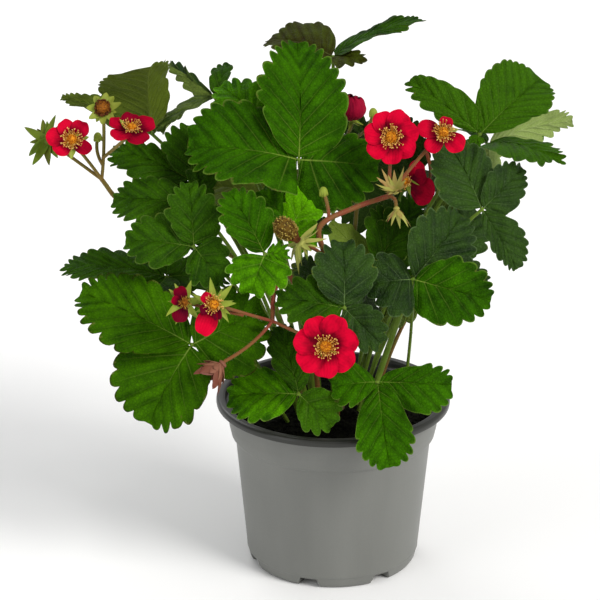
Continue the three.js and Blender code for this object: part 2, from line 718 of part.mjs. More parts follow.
let soil = soilBody().subtract(crownBody(CLEARANCE));

for (const leaf of LEAVES) {
  model.add(meshOf(leaf.name, leafBody(leaf), LEAF_GREENS[leaf.green]));
  soil = soil.subtract(holeFor(leafRoute(leaf), leaf.thick ?? STALK_RADIUS));
}
for (const truss of TRUSSES) {
  model.add(meshOf(truss.name, trussBody(truss), TRUSS_GREEN));
  soil = soil.subtract(holeFor(trussRoute(truss), truss.thick));
}
for (const [name, bloom] of Object.entries(BLOOMS)) {
  model.add(meshOf(`petals_${name}`, petalsBody(bloom), PETAL_RED));
}
for (const [name, bloom] of Object.entries({ ...BLOOMS, ...STARS })) {
  if (bloom.heart) {
    model.add(meshOf(`heart_${name}`, heartBody(bloom), HEART_YELLOW));
  }
}
model.add(meshOf('young_fruit', fruitBody(), FRUIT_GREEN));
model.add(meshOf('pot', potBody(), POT_GREY));
model.add(meshOf('soil', soil, SOIL_BROWN));
model.add(meshOf('crown', crownBody(), CROWN_BROWN));

export default model;
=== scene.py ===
# %% [markdown]
# # A potted strawberry plant
#
# The plant has two dozen leaves of three toothed leaflets, red flowers on branching stalks, one
# young fruit, and a moulded nursery pot filled with dark soil. The solid model is loaded first and
# is never moved. Every visible piece is then grown again in finer detail in the same place: a leaf
# keeps its hub, its tips and its stalk, and gains teeth, veins and hairs.

# %% The frame
import math

import bmesh
import bpy
import numpy as np
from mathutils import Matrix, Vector


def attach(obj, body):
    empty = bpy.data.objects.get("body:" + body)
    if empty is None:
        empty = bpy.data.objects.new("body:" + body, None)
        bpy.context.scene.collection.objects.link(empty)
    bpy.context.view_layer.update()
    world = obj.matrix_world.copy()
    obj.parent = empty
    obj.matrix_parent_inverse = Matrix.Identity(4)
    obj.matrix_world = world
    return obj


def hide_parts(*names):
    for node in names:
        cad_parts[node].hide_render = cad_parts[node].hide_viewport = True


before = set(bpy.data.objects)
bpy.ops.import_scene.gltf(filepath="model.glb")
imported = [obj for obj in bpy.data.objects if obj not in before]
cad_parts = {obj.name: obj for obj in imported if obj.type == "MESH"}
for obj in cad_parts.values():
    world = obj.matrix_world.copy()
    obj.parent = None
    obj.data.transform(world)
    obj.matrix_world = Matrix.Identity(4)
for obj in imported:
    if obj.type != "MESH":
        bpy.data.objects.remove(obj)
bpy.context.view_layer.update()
MM = 0.001
print("nodes in the frame:", len(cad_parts))

# %% [markdown]
# ## Meshes from grids
#
# Almost everything on a plant is a surface over two parameters: along a blade and across it, or
# along a stalk and round it. Each surface is worked out as whole arrays and gives its points, its
# four-cornered faces, a place on the surface for the materials to read, and a tint. A piece is
# several such surfaces in one mesh, welded where they meet.

# %% Surfaces and pieces
WELD = 2e-6
SHARP_ANGLE = math.radians(48)


def unit(v):
    """A vector, or each row of an array of them, divided by its length."""
    return v / np.maximum(np.linalg.norm(v, axis=-1, keepdims=True), 1e-12)


def floats(values):
    """Rows of plain numbers as an array."""
    return np.array(values, float)


def spots(*values):
    """Values on one grid, put together as the last axis."""
    return np.stack(np.broadcast_arrays(*values), axis=-1)


def shares(rows, columns):
    """A grid's two parameters: from 0 to 1 along it, and from -1 to 1 across it."""
    return np.linspace(0, 1, rows + 1)[:, None], np.linspace(-1, 1, columns + 1)[None, :]


def ring_of(side, other, turn):
    """Directions at some turns round an axis, from the two directions across it."""
    return side * np.cos(turn)[..., None] + other * np.sin(turn)[..., None]


def grid_faces(rows, columns, flip=False):
    """The faces of a grid of points that is stored row after row."""
    first = (np.arange(rows - 1)[:, None] * columns + np.arange(columns - 1)[None, :]).ravel()
    quads = np.stack([first, first + 1, first + columns + 1, first + columns], axis=1)
    return quads[:, ::-1] if flip else quads


def surface(points, uv=(0.0, 0.0), finish=0, tint=0.0, flip=False, reach=0.0):
    """One grid of points (rows, columns, 3) as a part of a piece, with its places for the materials:
    uv, a tint, and a reach that grows from root to tip."""
    rows, columns = points.shape[:2]
    return dict(
        points=points.reshape(-1, 3),
        faces=grid_faces(rows, columns, flip),
        uv=np.broadcast_to(uv, (rows, columns, 2)).reshape(-1, 2),
        tint=np.broadcast_to(tint, (rows, columns)).ravel(),
        reach=np.broadcast_to(reach, (rows, columns)).ravel(),
        finish=finish,
    )


def make_piece(node, parts, finishes):
    """The piece that replaces a node: several parts, given in millimetres, with their finishes in order."""
    name = node + "_fine"
    sizes = [len(part["points"]) for part in parts]
    starts = np.concatenate([[0], np.cumsum(sizes)[:-1]])
    points = np.concatenate([part["points"] for part in parts]) * MM
    faces = [part["faces"] + start for part, start in zip(parts, starts)]
    corners = np.concatenate([f.ravel() for f in faces])
    corner_counts = np.concatenate([np.full(len(f), f.shape[1]) for f in faces])
    uv = np.concatenate([part["uv"] for part in parts])
    mesh = bpy.data.meshes.new(name)
    mesh.vertices.add(len(points))
    mesh.vertices.foreach_set("co", points.ravel())
    mesh.loops.add(len(corners))
    mesh.loops.foreach_set("vertex_index", corners)
    mesh.polygons.add(len(corner_counts))
    mesh.polygons.foreach_set("loop_start", np.concatenate([[0], np.cumsum(corner_counts)[:-1]]))
    mesh.polygons.foreach_set("material_index", np.concatenate(
        [np.full(len(f), part["finish"]) for f, part in zip(faces, parts)]))
    mesh.polygons.foreach_set("use_smooth", np.ones(len(corner_counts), dtype=bool))
    mesh.uv_layers.new(name="Surface").data.foreach_set("uv", uv[corners].ravel())
    for key in ("tint", "reach"):
        values = [part.get(key, np.zeros(len(part["points"]))) for part in parts]
        attribute = mesh.attributes.new(key, "FLOAT", "POINT")
        attribute.data.foreach_set("value", np.concatenate(values).astype(np.float32))
    mesh.update(calc_edges=True)
    weld(mesh)
    for finish in finishes:
        mesh.materials.append(finish)
    piece = bpy.data.objects.new(name, mesh)
    bpy.context.scene.collection.objects.link(piece)
    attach(piece, "root")
    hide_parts(node)


def weld(mesh):
    """Joins points that fall together, so that rims and poles close, and splits sharp edges' shading."""
    work = bmesh.new()
    work.from_mesh(mesh)
    bmesh.ops.remove_doubles(work, verts=work.verts, dist=WELD)
    bmesh.ops.dissolve_degenerate(work, edges=work.edges, dist=WELD / 4)
    work.to_mesh(mesh)
    work.free()
    mesh.set_sharp_from_angle(angle=SHARP_ANGLE)


# %% [markdown]
# ## Camera, floor and light
#
# The view looks down on the plant by 21 degrees from well in front, through a long lens, so the
# pot's rim shows as a flat ellipse. Its place was settled on the pot: rim, base and height. The
# floor and the surroundings are plain and pale, with one broad soft light from the right and
# weaker ones from the left and from behind.

# %% Camera
CAMERA_RISE = math.radians(21.0)
CAMERA_DISTANCE = 1.5
CAMERA_LENS = 164.0
LOOK_AT = np.array([-18.4, 0.0, 153.0]) * MM
CAMERA_SENSOR = 36.0
CAMERA_REACH = 20.0

camera = bpy.data.objects.new("camera", bpy.data.cameras.new("camera"))
bpy.context.scene.collection.objects.link(camera)
camera.data.lens = CAMERA_LENS
camera.data.sensor_width = CAMERA_SENSOR
camera.data.clip_end = CAMERA_REACH
camera.location = LOOK_AT + CAMERA_DISTANCE * np.array([0, -math.cos(CAMERA_RISE), math.sin(CAMERA_RISE)])
camera.rotation_euler = (math.pi / 2 - CAMERA_RISE, 0, 0)
bpy.context.scene.camera = camera

# %% Nodes made short
def add(tree, kind, inputs=None, **settings):
    """A shader node with its settings, its plain values and its links in one call."""
    node = tree.nodes.new(kind)
    for key, value in settings.items():
        setattr(node, key, value)
    for key, value in (inputs or {}).items():
        if isinstance(value, bpy.types.NodeSocket):
            tree.links.new(value, node.inputs[key])
        else:
            node.inputs[key].default_value = value
    return node


def maths(tree, operation, a, b=0.0, c=0.0, clamp=False):
    """One step of arithmetic on numbers or sockets."""
    return add(tree, "ShaderNodeMath", {0: a, 1: b, 2: c}, operation=operation, use_clamp=clamp).outputs[0]


def ramp_of(tree, factor, low, high, to_low=0.0, to_high=1.0):
    """A smooth step of a value from one range into another."""
    return add(tree, "ShaderNodeMapRange", {
        "Value": factor, "From Min": low, "From Max": high, "To Min": to_low, "To Max": to_high,
    }, interpolation_type="SMOOTHSTEP").outputs["Result"]


def object_place(tree):
    """Where a point lies in the piece's own space, which no view or pose changes."""
    return add(tree, "ShaderNodeTexCoord").outputs["Object"]


def noise(tree, place, scale, detail=2.0, **values):
    """Seeded cloudy noise over a place."""
    inputs = {"Vector": place, "Scale": scale, "Detail": detail, **values}
    return add(tree, "ShaderNodeTexNoise", inputs).outputs["Fac"]


def bump(tree, shader, height, strength, distance):
    """Small relief: a height turned into the shader's normal."""
    node = add(tree, "ShaderNodeBump", {"Height": height, "Strength": strength, "Distance": distance})
    tree.links.new(node.outputs["Normal"], shader.inputs["Normal"])


def blend_colours(tree, factor, a, b):
    """Two colours mixed by a factor."""
    a, b = (colour if isinstance(colour, bpy.types.NodeSocket) else (*colour, 1.0) for colour in (a, b))
    return add(tree, "ShaderNodeMix", {0: factor, 6: a, 7: b}, data_type="RGBA", clamp_factor=True).outputs[2]


def new_group(name, inputs, outputs):
    """An empty shader group: inputs with their values, None for a vector, and numbers as outputs."""
    tree = bpy.data.node_groups.new(name, "ShaderNodeTree")
    for label, value in inputs.items():
        kind = "NodeSocketVector" if value is None else "NodeSocketFloat"
        socket = tree.interface.new_socket(name=label, in_out="INPUT", socket_type=kind)
        if value is not None:
            socket.default_value = value
    for label in outputs:
        tree.interface.new_socket(name=label, in_out="OUTPUT", socket_type="NodeSocketFloat")
    return tree, tree.nodes.new("NodeGroupInput"), tree.nodes.new("NodeGroupOutput")


def new_material(name, roughness, **sockets):
    """A material with a Principled shader and its constant values set on the shader's own sockets."""
    material = bpy.data.materials.new(name)
    material.use_nodes = True
    tree = material.node_tree
    shader = tree.nodes["Principled BSDF"]
    shader.inputs["Roughness"].default_value = roughness
    for key, value in sockets.items():
        shader.inputs[key.replace("_", " ")].default_value = value
    return material, tree, shader


# %% Floor and light
FLOOR_SIZE = 6.0
LIGHTS = (
    # name, kind, place in metres, spread in metres or radians, power, colour
    ("key", "SUN", (1.15, -0.95, 1.30), 0.45, 2.3, (1.0, 0.985, 0.96)),
    ("fill", "AREA", (-1.2, -0.9, 0.5), 0.9, 5.0, (0.97, 0.985, 1.0)),
    ("back", "AREA", (-0.5, 1.2, 1.2), 0.8, 5.0, (1.0, 1.0, 1.0)),
)
WORLD_STRENGTH = 0.55


def make_floor():
    """A wide pale plane at the height of the pot's feet."""
    half = FLOOR_SIZE / 2
    mesh = bpy.data.meshes.new("floor")
    corners = [(x * half, y * half, 0) for x, y in ((-1, -1), (1, -1), (1, 1), (-1, 1))]
    mesh.from_pydata(corners, [], [(0, 1, 2, 3)])
    floor = bpy.data.objects.new("floor", mesh)
    bpy.context.scene.collection.objects.link(floor)
    material, _, shader = new_material("pale floor", 0.9)
    shader.inputs["Base Color"].default_value = (0.97, 0.97, 0.97, 1)
    mesh.materials.append(material)


def make_lights():
    """A soft key light, weak broad lights that face the plant, and an even white world."""
    for name, kind, place, spread, power, colour in LIGHTS:
        light = bpy.data.lights.new(name, kind)
        if kind == "SUN":
            light.angle = spread
        else:
            light.size = spread
        light.energy = power
        light.color = colour
        lamp = bpy.data.objects.new(name, light)
        bpy.context.scene.collection.objects.link(lamp)
        lamp.location = place
        lamp.rotation_euler = (Vector(LOOK_AT) - Vector(place)).to_track_quat("-Z", "Y").to_euler()
    world = bpy.data.worlds.new("studio")
    world.use_nodes = True
    world.node_tree.nodes["Background"].inputs["Color"].default_value = (1, 1, 1, 1)
    world.node_tree.nodes["Background"].inputs["Strength"].default_value = WORLD_STRENGTH
    bpy.context.scene.world = world
    bpy.context.scene.view_settings.view_transform = "Standard"


make_floor()
make_lights()

# %% [markdown]
# ## Where the leaves are
#
# A leaf is known by the point where its three leaflets meet, the way its upper side faces, the foot
# of its stalk, given as an angle and a distance from the crown, and the tip and the width of each
# leaflet. A leaflet may also be rolled about its own length or folded more along its midrib. These
# are the same leaves as in the solid model, in millimetres.

# %% Table of leaves
LEAVES = [
    # name, green, hub, face, foot; then for each leaflet its tip, width, roll and other form
    ("leaf_top", "bright", [-19, 0, 234], [0.05, -0.78, 0.62], [177, 11.5],
     [[[-20, 42, 286], 47], [[-78, 1, 240], 50], [[23, 0, 230], 40]]),
    ("leaf_crest", "dark", [0, 62, 274], [0, -0.12, 0.99], [90, 11.5],
     [[[-35, 85, 277], 36, -8], [[50, 80, 289], 24, -8], [[17, 46, 275], 15]]),
    ("leaf_left_pale", "mid", [-100, 40, 236], [-0.1, 0.8, 0.58], [152, 12],
     [[[-98, 4, 284], 54, 22, dict(fold=22)], [[-148, 36, 258], 16], [[-85, 52, 245], 12]]),
    ("leaf_left_high", "mid", [-66, 52, 254], [-0.1, -0.45, 0.88], [128, 11.5],
     [[[-91, 78, 265], 14, -25], [[-58, 73, 266], 11], [[-94, 31, 240], 14, 20]]),
    ("leaf_behind_top", "mid", [-38, 30, 245], [-0.1, -0.7, 0.7], [112, 16],
     [[[-62, 49, 260], 28], [[-30, 47, 262], 16], [[-51, 19, 232], 16]]),
    ("leaf_left_upper", "mid", [-78, 16, 217], [-0.1, -0.75, 0.65], [166, 18],
     [[[-121, 32, 229], 24, 22], [[-79, 37, 241], 24, 22], [[-94, 3, 200], 18, 22]]),
    ("leaf_left_lower", "mid", [-75, -4, 209], [-0.1, -0.75, 0.65], [182, 18],
     [[[-119, 3, 210], 28], [[-70, 13, 229], 16], [[-78, -20, 190], 16]]),
    ("leaf_left_mid", "dark", [-75, -30, 195], [-0.05, -0.85, 0.52], [201, 18],
     [[[-111, -27, 197], 30], [[-78, -12, 224], 28], [[-60, -40, 180], 26]]),
    ("leaf_left_dark", "dark", [-91, -6, 169], [-0.2, -0.45, 0.87], [189, 25],
     [[[-148, 14, 167], 26, 0], [[-91, 18, 182], 16], [[-100, -22, 159], 22]]),
    ("leaf_left_low", "bright", [-76, -48, 146], [-0.1, -0.86, 0.5], [215, 26],
     [[[-135, -29, 168], 44], [[-98, -67, 109], 57], [[-39, -42, 164], 42]]),
    ("leaf_young", "bright", [-37, -44, 196], [0, -0.85, 0.52], [224, 18],
     [[[-56, -26, 224], 27], [[-44, -55, 178], 33], [[-25, -44, 196], 12]]),
    ("leaf_young_back", "bright", [-24, -18, 201], [0, -0.8, 0.6], [215, 11.5],
     [[[-39, -5, 218], 20, 24], [[-11, -5, 218], 20, 24], [[-9, -22, 195], 12, 18]]),
    ("leaf_centre_back", "mid", [24, 8, 172], [0.1, -0.6, 0.8], [30, 18.5],
     [[[-1, 26, 189], 20, -30], [[33, 36, 193], 28, 16], [[43, -1, 163], 16]]),
    ("leaf_centre", "dark", [5, -56, 170], [0, -0.85, 0.52], [275, 18],
     [[[4, -38, 200], 34], [[-30, -54, 174], 28], [[24, -66, 154], 24]]),
    ("leaf_right_mid", "bright", [42, -34, 178], [0.1, -0.82, 0.56], [318, 19],
     [[[68, -12, 206], 38, 18], [[83, -36, 167], 36, 18], [[18, -38, 176], 30]]),
    ("leaf_right_back", "dark", [62, 20, 168], [0.15, -0.75, 0.65], [5, 20],
     [[[81, 42, 189], 28], [[44, 0, 149], 16], [[85, 16, 158], 14]]),
    ("leaf_right_high", "mid", [80, 26, 240], [0.1, -0.7, 0.7], [18, 11.5],
     [[[43, 46, 265], 26, -20], [[114, 54, 263], 42, 0], [[73, 18, 232], 9]]),
    ("leaf_right_far", "mid", [86, 44, 229], [0.05, 0.3, 0.95], [50, 12],
     [[[134, 72, 233], 26, -36], [[122, 2, 231], 22, 12, dict(fold=30)], [[72, 60, 232], 12, -14]]),
    ("leaf_right", "dark", [80, -4, 207], [0.15, -0.82, 0.55], [344, 12],
     [[[61, 14, 239], 27], [[102, 12, 225], 26], [[98, -20, 179], 20]]),
    ("leaf_front_left", "dark", [-19, -52, 119], [-0.05, -0.78, 0.62], [250, 26],
     [[[-56, -51, 117], 30], [[-30, -28, 148], 22], [[-1, -64, 106], 24]]),
    ("leaf_front_right", "mid", [23, -54, 127], [0.05, -0.8, 0.6], [298, 26],
     [[[-1, -57, 125], 28], [[29, -81, 90], 34], [[62, -53, 125], 34]]),
    ("leaf_back_right", "mid", [40, 62, 196], [0.35, 0.72, 0.6], [55, 20],
     [[[56, 93, 172], 34], [[4, 78, 198], 30], [[74, 44, 200], 30]]),
    ("leaf_back_left", "bright", [-38, 70, 190], [-0.3, 0.75, 0.58], [122, 21],
     [[[-56, 100, 162], 36], [[-4, 84, 192], 30], [[-72, 56, 200], 32]]),
    ("leaf_back_low", "mid", [4, 60, 136], [0.05, 0.7, 0.72], [90, 25],
     [[[6, 92, 112], 32], [[-30, 66, 140], 28], [[38, 62, 138], 28]]),
]

# %% [markdown]
# ## Leaf finishes
#
# The upper side of a strawberry leaf is deep green and quilted, with pale sunken veins and a soft
# sheen; the underside is a paler olive, with raised veins. The veins follow the blade, so the
# materials read the blade's own places: across it from the midrib to the edge, and along it counted
# in teeth, because each side vein runs to the tip of one tooth.
# The upper side's colour also holds painted light: the swell between the veins is painted lighter, the
# creases and the fine net are painted darker as shade, and the thin edge is painted pale as rim light.

# %% Vein pattern, shared by both sides of a blade
VEIN_PHASE = 0.38


def vein_group():
    """Masks of the midrib, the side veins, the fine net, the swell between veins, the blotches, the
    thin edge and the streaks. A side vein runs wherever the place along the blade, counted in teeth
    and moved by the veins' phase, is a whole number."""
    tree, given, out = new_group(
        "blade veins", {"Place": None, "Side Width": 0.07, "Midrib Width": 0.026, "Net Scale": 600.0},
        ("Midrib", "Side Veins", "Net", "Swell", "Mottle", "Edge", "Streaks"))
    place = add(tree, "ShaderNodeSeparateXYZ", {0: given.outputs["Place"]})
    along, across = place.outputs[0], maths(tree, "ABSOLUTE", place.outputs[1])
    phase = maths(tree, "FRACT", maths(tree, "ADD", along, VEIN_PHASE))
    off_vein = maths(tree, "SUBTRACT", 0.5, maths(tree, "ABSOLUTE", maths(tree, "SUBTRACT", phase, 0.5)))
    thin = maths(tree, "SUBTRACT", 1.15, across)
    side_width = maths(tree, "MULTIPLY", given.outputs["Side Width"], thin)
    side = maths(tree, "SUBTRACT", 1.0, maths(tree, "DIVIDE", off_vein, side_width), clamp=True)
    mid = maths(tree, "DIVIDE", across, given.outputs["Midrib Width"])
    mid = maths(tree, "SUBTRACT", 1.0, mid, clamp=True)
    place = object_place(tree)
    net = add(tree, "ShaderNodeTexVoronoi", {"Vector": place, "Scale": given.outputs["Net Scale"]},
              feature="DISTANCE_TO_EDGE")
    stretched = add(tree, "ShaderNodeMapping", {"Vector": given.outputs["Place"], "Scale": (2.6, 1.1, 1.0)})
    masks = {
        "Midrib": mid,
        "Side Veins": side,
        "Net": ramp_of(tree, net.outputs["Distance"], 0.0, 0.2, 1.0, 0.0),
        "Swell": ramp_of(tree, off_vein, 0.0, 0.36),
        "Mottle": noise(tree, place, 60.0, 7.0, Roughness=0.7),
        "Edge": ramp_of(tree, across, 0.955, 0.995),
        "Streaks": noise(tree, stretched.outputs[0], 1.0, 3.0),
    }
    for label, mask in masks.items():
        tree.links.new(mask, out.inputs[label])
    return tree


VEINS = vein_group()


def place_veins(tree, **values):
    """The vein group in a material, reading the piece's own surface places."""
    places = add(tree, "ShaderNodeUVMap", uv_map="Surface")
    group = add(tree, "ShaderNodeGroup", node_tree=VEINS)
    tree.links.new(places.outputs["UV"], group.inputs["Place"])
    for key, value in values.items():
        group.inputs[key.replace("_", " ")].default_value = value
    return group


# %% Upper and lower sides
def attribute(tree, name):
    """A number kept at each point of the mesh."""
    return add(tree, "ShaderNodeAttribute", attribute_name=name).outputs["Fac"]


def leaf_upper(name, deep, fresh, vein, edge, gloss):
    """From deep to fresh green by tint and mottle, with painted light and shade: the swell between the veins
    is painted lighter, and painted shade darkens the creases along the side veins and the sunken net. A pale
    midrib fades towards the tip, and the thin edge is painted pale as rim light, except on the aged green,
    whose brown edge is its own."""
    material, tree, shader = new_material(name, 0.42, Specular_IOR_Level=gloss)
    group = place_veins(tree)
    swell, mottle = group.outputs["Swell"], group.outputs["Mottle"]
    streaks = group.outputs["Streaks"]
    factor = maths(tree, "MULTIPLY_ADD", mottle, 2.4, -1.2)
    # Streaks along the side veins lighten the green where they also raise the relief: partly random tone,
    # partly painted light on the ridges.
    factor = maths(tree, "ADD", factor, maths(tree, "MULTIPLY_ADD", streaks, 0.8, -0.4))
    factor = maths(tree, "ADD", attribute(tree, "tint"), factor)
    # Painted light: the swell between the veins is painted a lighter green.
    factor = maths(tree, "MULTIPLY_ADD", swell, 0.16, factor, clamp=True)
    colour = blend_colours(tree, factor, deep, fresh)
    # Painted shade in the creases along the side veins and in the sunken fine net, blended towards a darker
    # green.
    painted_crease_shade = maths(tree, "SUBTRACT", 1.0, swell)
    dark = tuple(0.45 * c for c in deep)
    colour = blend_colours(tree, maths(tree, "MULTIPLY", painted_crease_shade, 0.16), colour, dark)
    colour = blend_colours(tree, maths(tree, "MULTIPLY", group.outputs["Net"], 0.24), colour, dark)
    near = maths(tree, "SUBTRACT", 1.15, attribute(tree, "reach"))
    side = maths(tree, "MULTIPLY", group.outputs["Side Veins"], maths(tree, "MULTIPLY", near, near))
    side = maths(tree, "MULTIPLY", side, 0.36)
    colour = blend_colours(tree, side, colour, vein)
    midrib = maths(tree, "MULTIPLY", group.outputs["Midrib"], maths(tree, "MULTIPLY", near, near), clamp=True)
    colour = blend_colours(tree, midrib, colour, vein)
    # The thin edge: a painted pale rim light on most greens, a real brown dried margin on the aged one.
    colour = blend_colours(tree, maths(tree, "MULTIPLY", group.outputs["Edge"], 0.6), colour, edge)
    tree.links.new(colour, shader.inputs["Base Color"])
    height = maths(tree, "MULTIPLY_ADD", group.outputs["Net"], -0.3, maths(tree, "MULTIPLY", swell, 0.3))
    height = maths(tree, "MULTIPLY_ADD", mottle, 3.0, maths(tree, "MULTIPLY_ADD", streaks, 1.2, height))
    bump(tree, shader, height, 0.8, 0.0009)
    tree.links.new(maths(tree, "MULTIPLY_ADD", mottle, 0.3, 0.32), shader.inputs["Roughness"])
    return material


def leaf_under(name, base, vein):
    """Paler olive green with raised veins and a dull surface."""
    material, tree, shader = new_material(name, 0.6, Specular_IOR_Level=0.12)
    group = place_veins(tree, Side_Width=0.11, Midrib_Width=0.05)
    shade = maths(tree, "MULTIPLY_ADD", group.outputs["Mottle"], 1.4, -0.7)
    shade = maths(tree, "ADD", shade, attribute(tree, "tint"), clamp=True)
    colour = blend_colours(tree, shade, tuple(0.5 * c for c in base), base)
    colour = blend_colours(tree, maths(tree, "MULTIPLY", group.outputs["Net"], 0.25), colour, vein)
    side = maths(tree, "MULTIPLY", group.outputs["Side Veins"], 0.7)
    veins = maths(tree, "MAXIMUM", group.outputs["Midrib"], side)
    colour = blend_colours(tree, maths(tree, "MULTIPLY", veins, 0.8), colour, vein)
    tree.links.new(colour, shader.inputs["Base Color"])
    bump(tree, shader, maths(tree, "MULTIPLY_ADD", group.outputs["Net"], 0.4, veins), 0.6, 0.0006)
    return material


UPPER_COLOURS = {
    # deep green, fresh green, veins, edge (painted pale as rim light; the aged green's brown edge is its
    # own), gloss
    "young": ((0.020, 0.085, 0.0003), (0.120, 0.390, 0.0010),
              (0.26, 0.38, 0.06), (0.20, 0.32, 0.05), 0.03),
    "bright": ((0.0075, 0.032, 0.0003), (0.042, 0.158, 0.0005),
               (0.24, 0.34, 0.05), (0.14, 0.24, 0.03), 0.025),
    "mid": ((0.0070, 0.029, 0.0004), (0.042, 0.130, 0.0010),
            (0.17, 0.27, 0.04), (0.11, 0.18, 0.03), 0.05),
    "dark": ((0.0050, 0.021, 0.0010), (0.030, 0.080, 0.0040),
             (0.16, 0.26, 0.08), (0.09, 0.15, 0.05), 0.15),
    "two-toned": ((0.014, 0.040, 0.005), (0.130, 0.190, 0.030),
                  (0.17, 0.24, 0.06), (0.10, 0.14, 0.04), 0.08),
    "russet": ((0.024, 0.018, 0.002), (0.055, 0.080, 0.006),
               (0.10, 0.12, 0.03), (0.10, 0.10, 0.05), 0.03),
    "aged": ((0.0105, 0.042, 0.0003), (0.052, 0.165, 0.0006),
             (0.22, 0.33, 0.05), (0.030, 0.018, 0.004), 0.025),
}
UNDER_COLOURS = {
    # blade, veins
    "olive": ((0.082, 0.122, 0.008), (0.14, 0.185, 0.022)),
    "deep": ((0.024, 0.060, 0.004), (0.05, 0.10, 0.012)),
    "lime": ((0.200, 0.300, 0.030), (0.28, 0.37, 0.07)),
    "pale": ((0.240, 0.330, 0.080), (0.36, 0.44, 0.17)),
}
LEAF_FINISHES = {name: leaf_upper("leaf upper " + name, *values) for name, values in UPPER_COLOURS.items()}
UNDERSIDES = {name: leaf_under("leaf underside " + name, *values) for name, values in UNDER_COLOURS.items()}
print("leaf greens:", len(LEAF_FINISHES), "undersides:", len(UNDERSIDES))


def stalk_finish(name, low, high, reddish):
    """A stalk or sepal: patchy between two greens, and reddish where the tint says so."""
    material, tree, shader = new_material(name, 0.5, Specular_IOR_Level=0.15)
    cloud = noise(tree, object_place(tree), 160.0, 3.0)
    colour = blend_colours(tree, cloud, low, high)
    patches = ramp_of(tree, cloud, 0.3, 0.6, 0.6, 1.0)
    colour = blend_colours(tree, maths(tree, "MULTIPLY", attribute(tree, "tint"), patches), colour, reddish)
    tree.links.new(colour, shader.inputs["Base Color"])
    bump(tree, shader, cloud, 0.4, 0.0005)
    return material


# The leaf stalks' greens are kept dark: partly their own colour, partly painted shade for stalks that stand
# in the shade between the leaves.
LEAF_STALK = stalk_finish("leaf stalk", (0.060, 0.125, 0.006), (0.17, 0.26, 0.03), (0.20, 0.085, 0.025))
HAIR = stalk_finish("stalk hairs", (0.20, 0.24, 0.12), (0.38, 0.42, 0.26), (0.3, 0.2, 0.12))

# %% [markdown]
# ## Leaflets
#
# A leaflet is an oval blade, widest past its middle, with rounded forward teeth. Modelling it along
# its veins is what makes it look right: one parameter picks a side vein, from its root on the
# midrib to its tip in a tooth, and the other runs along that vein. Teeth, sunken veins and the
# quilted swell between them are then functions of the first parameter alone.

# %% The blade
HUB_GAP = 1.0
BLADE_THICKNESS = 0.45
ROWS_A_TOOTH = 8
COLUMNS_A_SIDE = 10
QUILT_HEIGHT = 0.5
QUILT_FULL_LENGTH = 45
BOW = 0.08
ARCH = 0.12
WAVE = 0.03
ROUGHNESS = 0.55
FEWEST_TEETH, MOST_TEETH = 4, 11


def leaflet_axes(hub, tip, face, roll):
    """Base, length and the three directions of a leaflet: along, across (to its left) and up."""
    along = unit(tip - hub)
    base = hub + along * HUB_GAP
    across = unit(np.cross(face, along))
    turned = across * math.cos(roll) + np.cross(along, across) * math.sin(roll)
    return base, np.linalg.norm(tip - base), along, turned, np.cross(along, turned)


def tooth_shape(phase, crest, blunt):
    """1 at a tooth's tip and 0 in the notches: a power of the distance from the crest, on each side."""
    back = 1 - np.abs((phase - crest) / crest) ** (1.2 * blunt)
    front = 1 - np.abs((phase - crest) / (1 - crest)) ** blunt
    return np.where(phase < crest, back, front)


def blade_outline(x, full, end):
    """Half width along the blade: a power of a sine whose peak moves back as the blade gets fuller."""
    return np.sin(np.pi * np.clip(x, 0, 1) ** (1.45 - 0.42 * full)) ** end


def halves(pair, left):
    """A value for the right half and one for the left half of a blade, or one for both."""
    right, other = pair if isinstance(pair, tuple) else (pair, pair)
    return np.where(left, other, right)


